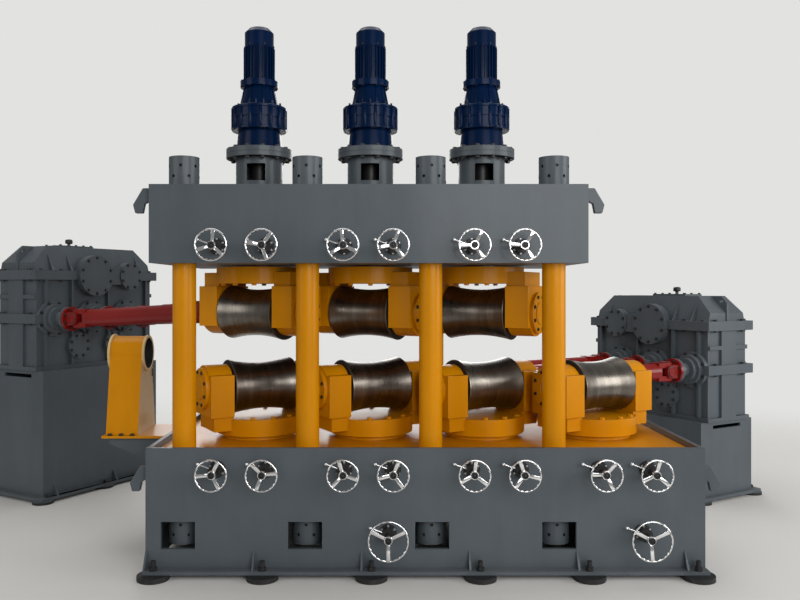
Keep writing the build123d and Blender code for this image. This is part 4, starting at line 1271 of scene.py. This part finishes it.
@dataclass
class GearMotors:
    """The three screw-down gearmotors on their pedestals."""

    flange: float = 0.2325
    flange_thick: float = 0.034
    flange_bolts: int = 12
    flange_inset: float = 0.030
    pedestal: float = 0.266
    tube_bore: float = 0.1502   # of the pedestal, with its play
    tube_top: float = 0.030     # from the seat down to the tube's painted inside
    output: float = 0.1         # the output shaft and nothing else lies within it
    reducer_height: float = 0.133
    ring: float = 0.186
    ring_height: float = 0.164
    ring_inset: float = 0.014
    rim_out: float = 0.008
    rim_height: float = 0.018
    lugs: int = 16
    lug: float = 0.012
    nick: float = 0.002         # broken edges of rims and lugs
    taper_low: float = 0.135
    taper_top: float = 0.107
    taper_height: float = 0.136
    ribs: int = 8
    rib_half: float = 0.008
    rib_reach: tuple[float, float] = (0.020, 0.006)     # into the taper's top, out of its foot
    stud: Outline = ((0.010, 0), (0.010, 0.026), (0.007, 0.030), (0.007, 0.040))
    stud_out: float = 0.014
    gap: float = 0.011
    motor_flange: float = 0.134
    motor_flange_thick: float = 0.043
    motor_bolts: int = 8
    motor_inset: float = 0.012
    cowl: float = 0.1025
    screws: int = 6
    screw_drop: float = 0.127   # of the cowl's screws, from its top
    slots: int = 14
    slot: tuple[Triple, Triple] = ((0.018, -0.0025, -0.001), (0.062, 0.0025, 0.0015))   # corners
    slot_edge: float = 0.0008
    edge: float = 0.003
    flange_bolt: Fastener = Fastener(0.018)
    small_bolt: Fastener = Fastener(0.011, washer=False)
    cowl_screw: Fastener = Fastener(0.008, washer=False)

    def build(self) -> None:
        """Dresses the pedestals and the motors."""
        pedestals = Bench.softened("motor_pedestals", self.edge, GREY, GREY_DARK)
        motors = Bench.softened("screwdown_gearmotors", self.edge, BLUE, GREY, DARK)
        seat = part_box("motor_pedestals")[0].z + self.pedestal + self.flange_thick
        Bench.painted(motors, 1, lambda at, normal: at.z < seat + self.flange_thick + HAIR)
        for i in stations("upper"):
            foot = Shaft.of(f"upper_spin_{i}").centre.copy()
            foot.z = seat
            Bench.painted(motors, 2, lambda at, normal: at.z < seat - HAIR
                          and (at - foot).xy.length < self.output)
            Bench.painted(pedestals, 1, lambda at, normal: at.z < seat - self.tube_top
                          and (at - foot).xy.length < self.tube_bore)
            self.one(f"gearmotor_{i}", foot)

    def one(self, name: str, foot: Vector) -> None:
        """Adds the fine pieces of one motor.

        Args:
            name: The start of their names.
            foot: The middle of the face between pedestal and motor.
        """
        ring_low = foot + UP * (self.flange_thick + self.reducer_height)
        ring_top = ring_low + UP * self.ring_height
        motor_low = ring_top + UP * (self.taper_height + self.gap)
        spots = []
        circle = self.flange - self.flange_inset
        for way in (UP, -UP):
            spots += self.flange_bolt.ring(foot + way * self.flange_thick, way, circle, self.flange_bolts)
        self.flange_bolt.fix(f"{name}_flange_bolts", spots, DARK, FRAME_BODY)
        self.ring_dress(name, ring_low)
        motor_top = motor_low + UP * self.motor_flange_thick
        circle = self.motor_flange - self.motor_inset
        spots = self.small_bolt.ring(ring_top + UP * HAIR, UP, self.ring - self.ring_inset, self.lugs)
        spots += self.small_bolt.ring(motor_low, -UP, circle, self.motor_bolts)
        spots += self.small_bolt.ring(motor_top, UP, circle, self.motor_bolts)
        self.small_bolt.fix(f"{name}_small_bolts", spots, BLUE, FRAME_BODY)
        self.taper(name, ring_top)
        self.grille(name, foot)

    def ring_dress(self, name: str, low: Vector) -> None:
        """Adds the lugs and the two rims of the ring gear's housing.

        Args:
            name: The start of the piece's name.
            low: The middle of the ring's underside.
        """
        nick, high = self.nick, self.ring_height
        outline = [(self.lug - nick, 2 * nick), (self.lug, 4 * nick), (self.lug, high - 4 * nick),
                   (self.lug - nick, high - 2 * nick)]
        spots = [Matrix.Translation(low + spot) for spot in around(self.lugs, self.ring, 180 / self.lugs)]
        lugs = Bench.spread("ring_lugs", Bench.turned("ring_lug", outline, sides=12), spots)
        outside = self.ring + self.rim_out
        outline = [(outside - nick, 0), (outside, nick), (outside, self.rim_height - nick),
                   (outside - nick, self.rim_height)]
        heights = (-HAIR, high - self.rim_height + HAIR)
        spots = [Matrix.Translation(low + UP * height) for height in heights]
        rims = Bench.spread("ring_rims", Bench.turned("ring_rim", outline, sides=72), spots)
        whole = Bench.joined(f"{name}_ring_dress", [lugs, rims])
        Bench.mount(Bench.dressed(whole, BLUE), FRAME_BODY)

    def taper(self, name: str, low: Vector) -> None:
        """Adds the ribs that run up the tapered adapter, with capped studs between their feet.

        Args:
            name: The start of the piece's name.
            low: The middle of the adapter's foot.
        """
        inward, outward = self.rib_reach
        rib = Bench.block("taper_rib", (self.taper_top - inward, -self.rib_half, 0),
                          (self.taper_low + outward, self.rib_half, self.taper_height), self.nick)
        with Bench.editing(rib, "VERT") as mesh:
            Bench.choose(mesh, mesh.verts,
                         lambda v: v.co.x > self.taper_top and v.co.z > self.taper_height / 2)
            bpy.ops.transform.translate(value=(self.taper_top - self.taper_low, 0, 0))
        ribs = Bench.spread("taper_ribs", rib, Bench.turns(low, self.ribs, 0.5))
        circle = around(self.ribs, self.taper_low + self.stud_out)
        studs = Bench.spread("taper_studs", Bench.turned("taper_stud", self.stud, sides=10),
                             [Matrix.Translation(low + spot) for spot in circle])
        whole = Bench.smooth(Bench.joined(f"{name}_taper_ribs", [ribs, studs]))
        Bench.mount(Bench.dressed(whole, BLUE), FRAME_BODY)

    def grille(self, name: str, foot: Vector) -> None:
        """Adds the fan grille on the cowl and the screws round it.

        Args:
            name: The start of the pieces' names.
            foot: Any point of the motor's axis.
        """
        top = Vector((foot.x, foot.y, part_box("screwdown_gearmotors")[1].z))
        bar = Bench.block("grille_slot", *self.slot, self.slot_edge)
        grille = Bench.spread(f"{name}_grille", bar, Bench.turns(top, self.slots))
        Bench.mount(Bench.dressed(grille, DARK), FRAME_BODY)
        middle = top - UP * self.screw_drop
        spots = [Bench.pose(middle + way * self.cowl, way) for way in around(self.screws)]
        self.cowl_screw.fix(f"{name}_cowl_screws", spots, DARK, FRAME_BODY)


@dataclass
class GuideHood:
    """The entry guide on its bracket at the left end."""

    ring_thick: float = 0.016
    plate_thick: float = 0.018
    outer: float = 0.136        # of the rim rings
    bore: float = 0.108
    bolt_out: float = 0.014     # of the foot bolts, from the hood's sides
    bolt_in: float = 0.05       # of the outer foot bolts, from its ends
    latch_at: tuple[float, float] = (0.125, 0.40)   # from the hood's middle and its foot
    lug: tuple[Triple, Triple] = ((-0.05, 0, -0.03), (-0.004, 0.018, 0.03))         # corners
    pin: tuple[Triple, Triple] = ((-0.03, -0.004, 0.012), (-0.03, 0.040, 0.012))    # ends
    arm: tuple[Triple, Triple] = ((-0.03, 0.034, 0.012), (-0.016, 0.034, -0.075))
    pin_radius: float = 0.008
    arm_radius: float = 0.007
    lying: float = 0.3          # most of a bore face's normal that lies along the pipe
    edge: float = 0.003
    bolt: Fastener = Fastener(0.016)

    def build(self) -> None:
        """Dresses hood and bracket."""
        hood = Bench.softened("guide_hood", self.edge, YELLOW, PALE, GREY_DARK)
        low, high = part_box("guide_hood")
        rim = self.ring_thick + HAIR
        Bench.painted(hood, 1, lambda at, normal: not low.x + rim <= at.x <= high.x - rim)
        middle = (low.y + high.y) / 2
        axis = Vector((middle, high.z - self.outer))
        Bench.painted(hood, 2, lambda at, normal: (at.yz - axis).length < self.bore + 2 * HAIR
                      and abs(normal.x) < self.lying and (at.yz - axis).dot(normal.yz) < 0)
        bracket = Bench.softened("guide_bracket", self.edge, GREY, YELLOW)
        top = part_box("guide_bracket")[1].z
        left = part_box("base_front_plate")[0].x
        Bench.painted(bracket, 1, lambda at, normal:
                      at.z > top - self.plate_thick - HAIR / 2 and at.x < left)
        spots = [Bench.pose(Vector((x, y, top)), UP) for y in (low.y - self.bolt_out, high.y + self.bolt_out)
                 for x in (low.x + self.bolt_in, (low.x + high.x) / 2, high.x - self.bolt_in)]
        self.bolt.fix("guide_foot_bolts", spots, DARK, FRAME_BODY)
        across, rise = self.latch_at
        self.latch(Vector((high.x, middle + across, low.z + rise)))

    def latch(self, at: Vector) -> None:
        """Adds the small latch beside the bore: a lug, its pin and a hanging handle.

        Args:
            at: The point on the hood's end from which the latch is measured.
        """
        corners, pin, arm = ([at + Vector(end) for end in ends] for ends in (self.lug, self.pin, self.arm))
        pieces = [Bench.block("latch_lug", *corners, self.edge),
                  Bench.rod("latch_pin", *pin, self.pin_radius),
                  Bench.rod("latch_arm", *arm, self.arm_radius)]
        Bench.mount(Bench.dressed(Bench.joined("guide_latch", pieces), GREY), FRAME_BODY)


@dataclass
class Drive:
    """One gearbox on its pedestal, dressed in its own axes: x away from the rolls, y along
    the row of shafts from the nearest one, z up from the case's underside."""

    side: str                   # left or right
    station: str                # joint of the roll that its nearest shaft serves
    inset: float = 0.045        # of the case behind its parting flanges
    thick: float = 0.490
    pitch: float = 0.3975
    output: float = 0.440
    upper: float = 0.812
    parting: float = 0.080
    height: float = 1.065
    near: float = 0.142
    cover_at: float = 0.425
    cover: float = 0.182
    small_cover: float = 0.127
    cover_reach: float = 0.079
    low_cover: float = 0.112
    low_at: tuple[float, float] = (0.263, 0.194)
    low_reach: float = 0.048
    housing: float = 0.150
    housing_reach: float = 0.042
    cover_inset: float = 0.022  # of the bolt circles in covers and housings
    small_inset: float = 0.018
    housing_inset: float = 0.013
    big_bolts: int = 10         # on the big cover's circle, and on each of the others
    small_bolts: int = 8
    clear: float = 0.03         # from a cover to the next parting bolt
    parting_bolts: int = 7
    end_bolts: float = 0.07     # of the parting flanges' end bolts, from the case's faces
    lid: float = 0.016
    lid_half: float = 0.095
    lid_row: tuple[float, ...] = (0.215, 0.298, 0.38, 0.462, 0.545)     # places of its bolts along y
    breather_at: float = 0.38
    breather: Outline = ((0.014, 0), (0.014, 0.022), (0.030, 0.024), (0.033, 0.030), (0.033, 0.052),
                         (0.028, 0.060), (0.012, 0.064))
    foot_line: float = 0.11525  # of the foot's bolts, from the case's faces
    foot_top: float = 0.048
    pad_top: float = 0.0215
    edge: float = 0.004
    cover_bolt: Fastener = Fastener(0.013)
    parting_bolt: Fastener = Fastener(0.017)
    lid_bolt: Fastener = Fastener(0.012)
    foot_bolt: Fastener = Fastener(0.024)
    x: Vector = field(init=False)
    y: Vector = field(init=False)
    origin: Vector = field(init=False)
    far: float = field(init=False)

    def __post_init__(self) -> None:
        """Works out the box's own axes from the shafts and the case."""
        shaft = Shaft.of(self.station)
        out = -1 if self.side == "left" else 1
        self.x = Vector((shaft.axis.x, shaft.axis.y, 0)).normalized()
        if self.x.x * out < 0:
            self.x = -self.x
        self.y = UP.cross(self.x) * out
        back, end = (runs(f"{self.side}_gearbox_case", shaft.centre, way)[1] for way in (self.x, self.y))
        face = back - self.inset - self.thick
        self.origin = shaft.centre + self.x * face
        self.origin.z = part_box(f"{self.side}_gearbox_case")[0].z
        self.far = end - self.inset
        log.info("%s gearbox face %.3f from its roll, far end %.3f", self.side, face, self.far)

    def at(self, x: float, y: float, z: float) -> Vector:
        """A place of the box in the frame."""
        return self.origin + self.x * x + self.y * y + UP * z

    def build(self) -> None:
        """Dresses case and pedestal."""
        Bench.softened(f"{self.side}_gearbox_case", self.edge, GREY)
        pedestal = Bench.softened(f"{self.side}_gearbox_pedestal", self.edge, GREY, RUBBER)
        Bench.painted(pedestal, 1, lambda at, normal: at.z < self.pad_top)
        self.covers()
        self.partings()
        self.top()
        self.feet()

    def covers(self) -> None:
        """Adds the bolt circles of covers and hub housings."""
        low_y, low_z = self.low_at
        big, small = self.cover - self.cover_inset, self.small_cover - self.small_inset
        low, housing = self.low_cover - self.small_inset, self.housing - self.housing_inset
        circles = [(self.cover_reach, self.cover_at, self.upper, big, self.big_bolts),
                   (self.cover_reach, self.cover_at + self.pitch, self.upper, small, self.small_bolts)]
        circles += [(self.low_reach, low_y + k * self.pitch, low_z, low, self.small_bolts) for k in range(2)]
        circles += [(self.housing_reach, k * self.pitch, self.output, housing, self.small_bolts)
                    for k in range(3)]
        spots = []
        for reach, y, z, radius, count in circles:
            spots += self.cover_bolt.ring(self.at(-reach, y, z), -self.x, radius, count)
        self.cover_bolt.fix(f"{self.side}_gearbox_cover_bolts", spots, DARK, FRAME_BODY)

    def partings(self) -> None:
        """Adds the bolts through both parting flanges, with nuts below."""
        middle, steps = self.inset / 2, self.parting_bolts - 1
        first, last = -self.near + self.clear, self.far - self.clear
        row = [first + k * (last - first) / steps for k in range(self.parting_bolts)]
        spots = []
        for level in (self.output, self.upper):
            places = [(x, y) for x in (-middle, self.thick + middle) for y in row
                      if x > 0 or not self.blocked(level, y)]
            places += [(x, y) for y in (-self.near - middle, self.far + middle)
                       for x in (self.end_bolts, self.thick - self.end_bolts)]
            spots += [Bench.pose(self.at(x, y, level + way * self.parting / 2), UP * way)
                      for x, y in places for way in (1, -1)]
        self.parting_bolt.fix(f"{self.side}_gearbox_parting_bolts", spots, DARK, FRAME_BODY)

    def blocked(self, level: float, y: float) -> bool:
        """Whether a cover or housing stands at a place along a parting flange.

        Args:
            level: The flange's middle height.
            y: The place.

        Returns:
            True where no bolt fits.
        """
        if level == self.upper:
            last = self.cover_at + self.pitch + self.small_cover
            return self.cover_at - self.cover - self.clear < y < last + self.clear
        return any(abs(y - k * self.pitch) < self.housing + self.clear for k in range(3))

    def top(self) -> None:
        """Adds the bolts of the top cover and the breather on it."""
        middle, height = self.thick / 2, self.height + self.lid
        spots = [Bench.pose(self.at(middle + side * self.lid_half, y, height), UP)
                 for side in (-1, 1) for y in self.lid_row]
        self.lid_bolt.fix(f"{self.side}_gearbox_lid_bolts", spots, DARK, FRAME_BODY)
        breather = Bench.turned(f"{self.side}_gearbox_breather", self.breather, sides=28, edge=HAIR)
        Bench.placed(breather, Matrix.Translation(self.at(middle, self.breather_at, height)))
        Bench.mount(Bench.dressed(breather, DARK), FRAME_BODY)

    def feet(self) -> None:
        """Adds the holding-down bolts on the pedestal's foot."""
        height = self.foot_top - self.origin.z
        ends = (-self.near + self.clear, (self.far - self.near) / 2, self.far - self.clear)
        spots = [Bench.pose(self.at(x, y, height), UP)
                 for x in (-self.foot_line, self.thick + self.foot_line) for y in ends]
        self.foot_bolt.fix(f"{self.side}_pedestal_foot_bolts", spots, DARK, FRAME_BODY)


@dataclass(frozen=True)
class Lamp:
    """One soft rectangular lamp."""

    name: str
    at: Triple
    aim: Triple
    size: tuple[float, float]
    power: float                # watts

    def build(self) -> None:
        """Hangs the lamp and aims it."""
        data = bpy.data.lights.new(self.name, "AREA")
        data.shape = "RECTANGLE"
        data.size, data.size_y = self.size
        data.energy = self.power
        lamp = Bench.linked(self.name, data)
        lamp.location = self.at
        lamp.rotation_mode = "QUATERNION"
        lamp.rotation_quaternion = (Vector(self.aim) - Vector(self.at)).to_track_quat("-Z", "Y")


@dataclass
class Studio:
    """Floor, lamps, world and camera; the light comes mostly from the front right and above."""

    camera_from: tuple[float, float] = (0.090, -5.725)   # from the second lower station, in plan
    eye_height: float = 1.792
    lens: float = 36.0          # millimetres, as is the sensor's width
    sensor: float = 36.0
    shift: tuple[float, float] = (0.02125, -0.01375)
    sight: float = 200.0
    floor_size: float = 60.0
    floor_fade: tuple[float, float] = (3.6, 8.5)         # from the machine, where the floor fades out
    floor_colour: Colour = srgb(214, 212, 208)
    backdrop: Colour = srgb(226, 226, 224)
    sky: float = 0.28
    lamps: tuple[Lamp, ...] = (
        Lamp("key_lamp", (3.5, -9.5, 3.8), (0, 0, 1.0), (6.0, 4.0), 430.0),
        Lamp("side_lamp", (9.5, -3.0, 3.2), (0.5, 0, 1.2), (5.0, 4.0), 350.0),
        Lamp("fill_lamp", (-8.0, -6.0, 4.0), (-0.5, 0, 1.2), (5.0, 4.0), 140.0),
        Lamp("top_lamp", (0.0, 1.0, 8.5), (0, 0, 0), (9.0, 5.0), 300.0),
        Lamp("back_lamp", (0.0, 9.0, 4.0), (0, 0, 1.6), (9.0, 4.0), 380.0),
    )

    def build(self) -> None:
        """Makes the whole studio."""
        self.floor()
        for lamp in self.lamps:
            lamp.build()
        self.world()
        self.camera()

    def floor(self) -> None:
        """A plain pale floor with the faintest cloudiness."""
        bpy.ops.object.select_all(action="DESELECT")
        bpy.ops.mesh.primitive_plane_add(size=self.floor_size, location=(0, 0, 0))
        piece = Bench.settled("studio_floor")
        made = bpy.data.materials.new("studio_floor")
        tree = ShaderTree(made)
        here = tree.place()
        dark, light = (tinted(self.floor_colour, factor) for factor in (0.97, 1.02))
        base = tree.mix(tree.noise(here, 0.7), dark, light)
        away = tree.node("ShaderNodeVectorMath", {"operation": "LENGTH"}, {0: here}, "Value")
        tree.finish({"Base Color": base, "Roughness": 0.6, "Alpha": 1 - away.step(*self.floor_fade)})
        piece.data.materials.append(made)

    def world(self) -> None:
        """An even pale surround: faint as light, and the backdrop's colour to the camera."""
        world = bpy.data.worlds.new("studio_world")
        bpy.context.scene.world = world
        tree = ShaderTree(world)
        light = tree.node("ShaderNodeBackground", {}, {"Color": (1.0, 1.0, 1.0), "Strength": self.sky})
        shown = tree.node("ShaderNodeBackground", {}, {"Color": self.backdrop, "Strength": 1.0})
        seen = tree.node("ShaderNodeLightPath", {}, {}, "Is Camera Ray")
        tree.close(tree.node("ShaderNodeMixShader", {}, {0: seen, 1: light, 2: shown}))

    def camera(self) -> None:
        """The camera at the photograph's place, looking level along +Y."""
        data = bpy.data.cameras.new("photo_camera")
        data.sensor_width = self.sensor
        data.lens = self.lens
        data.shift_x, data.shift_y = self.shift
        data.clip_end = self.sight
        camera = Bench.linked("photo_camera", data)
        station = Shaft.of("lower_spin_2").centre
        camera.location = (station.x + self.camera_from[0], station.y + self.camera_from[1], self.eye_height)
        camera.rotation_euler = (math.pi / 2, 0, 0)
        bpy.context.scene.camera = camera
        bpy.context.scene.view_settings.view_transform = "Standard"


def main() -> None:
    """Builds the studio and every sub-assembly."""
    logging.basicConfig(level=logging.INFO, format="%(relativeCreated)6d ms %(message)s")
    bpy.ops.object.select_all(action="DESELECT")
    assemblies = (Studio(), Plain(), Columns(), Rolls(), Yokes(), CardanShafts(), GearMotors(), GuideHood(),
                  Drive("left", "upper_spin_1"), Drive("right", "lower_spin_3"), WheelMounts())
    for assembly in (*assemblies, *(Handwheel(node) for node in handwheels())):
        log.info("building %s", type(assembly).__name__)
        assembly.build()


if __name__ == "__main__":
    main()
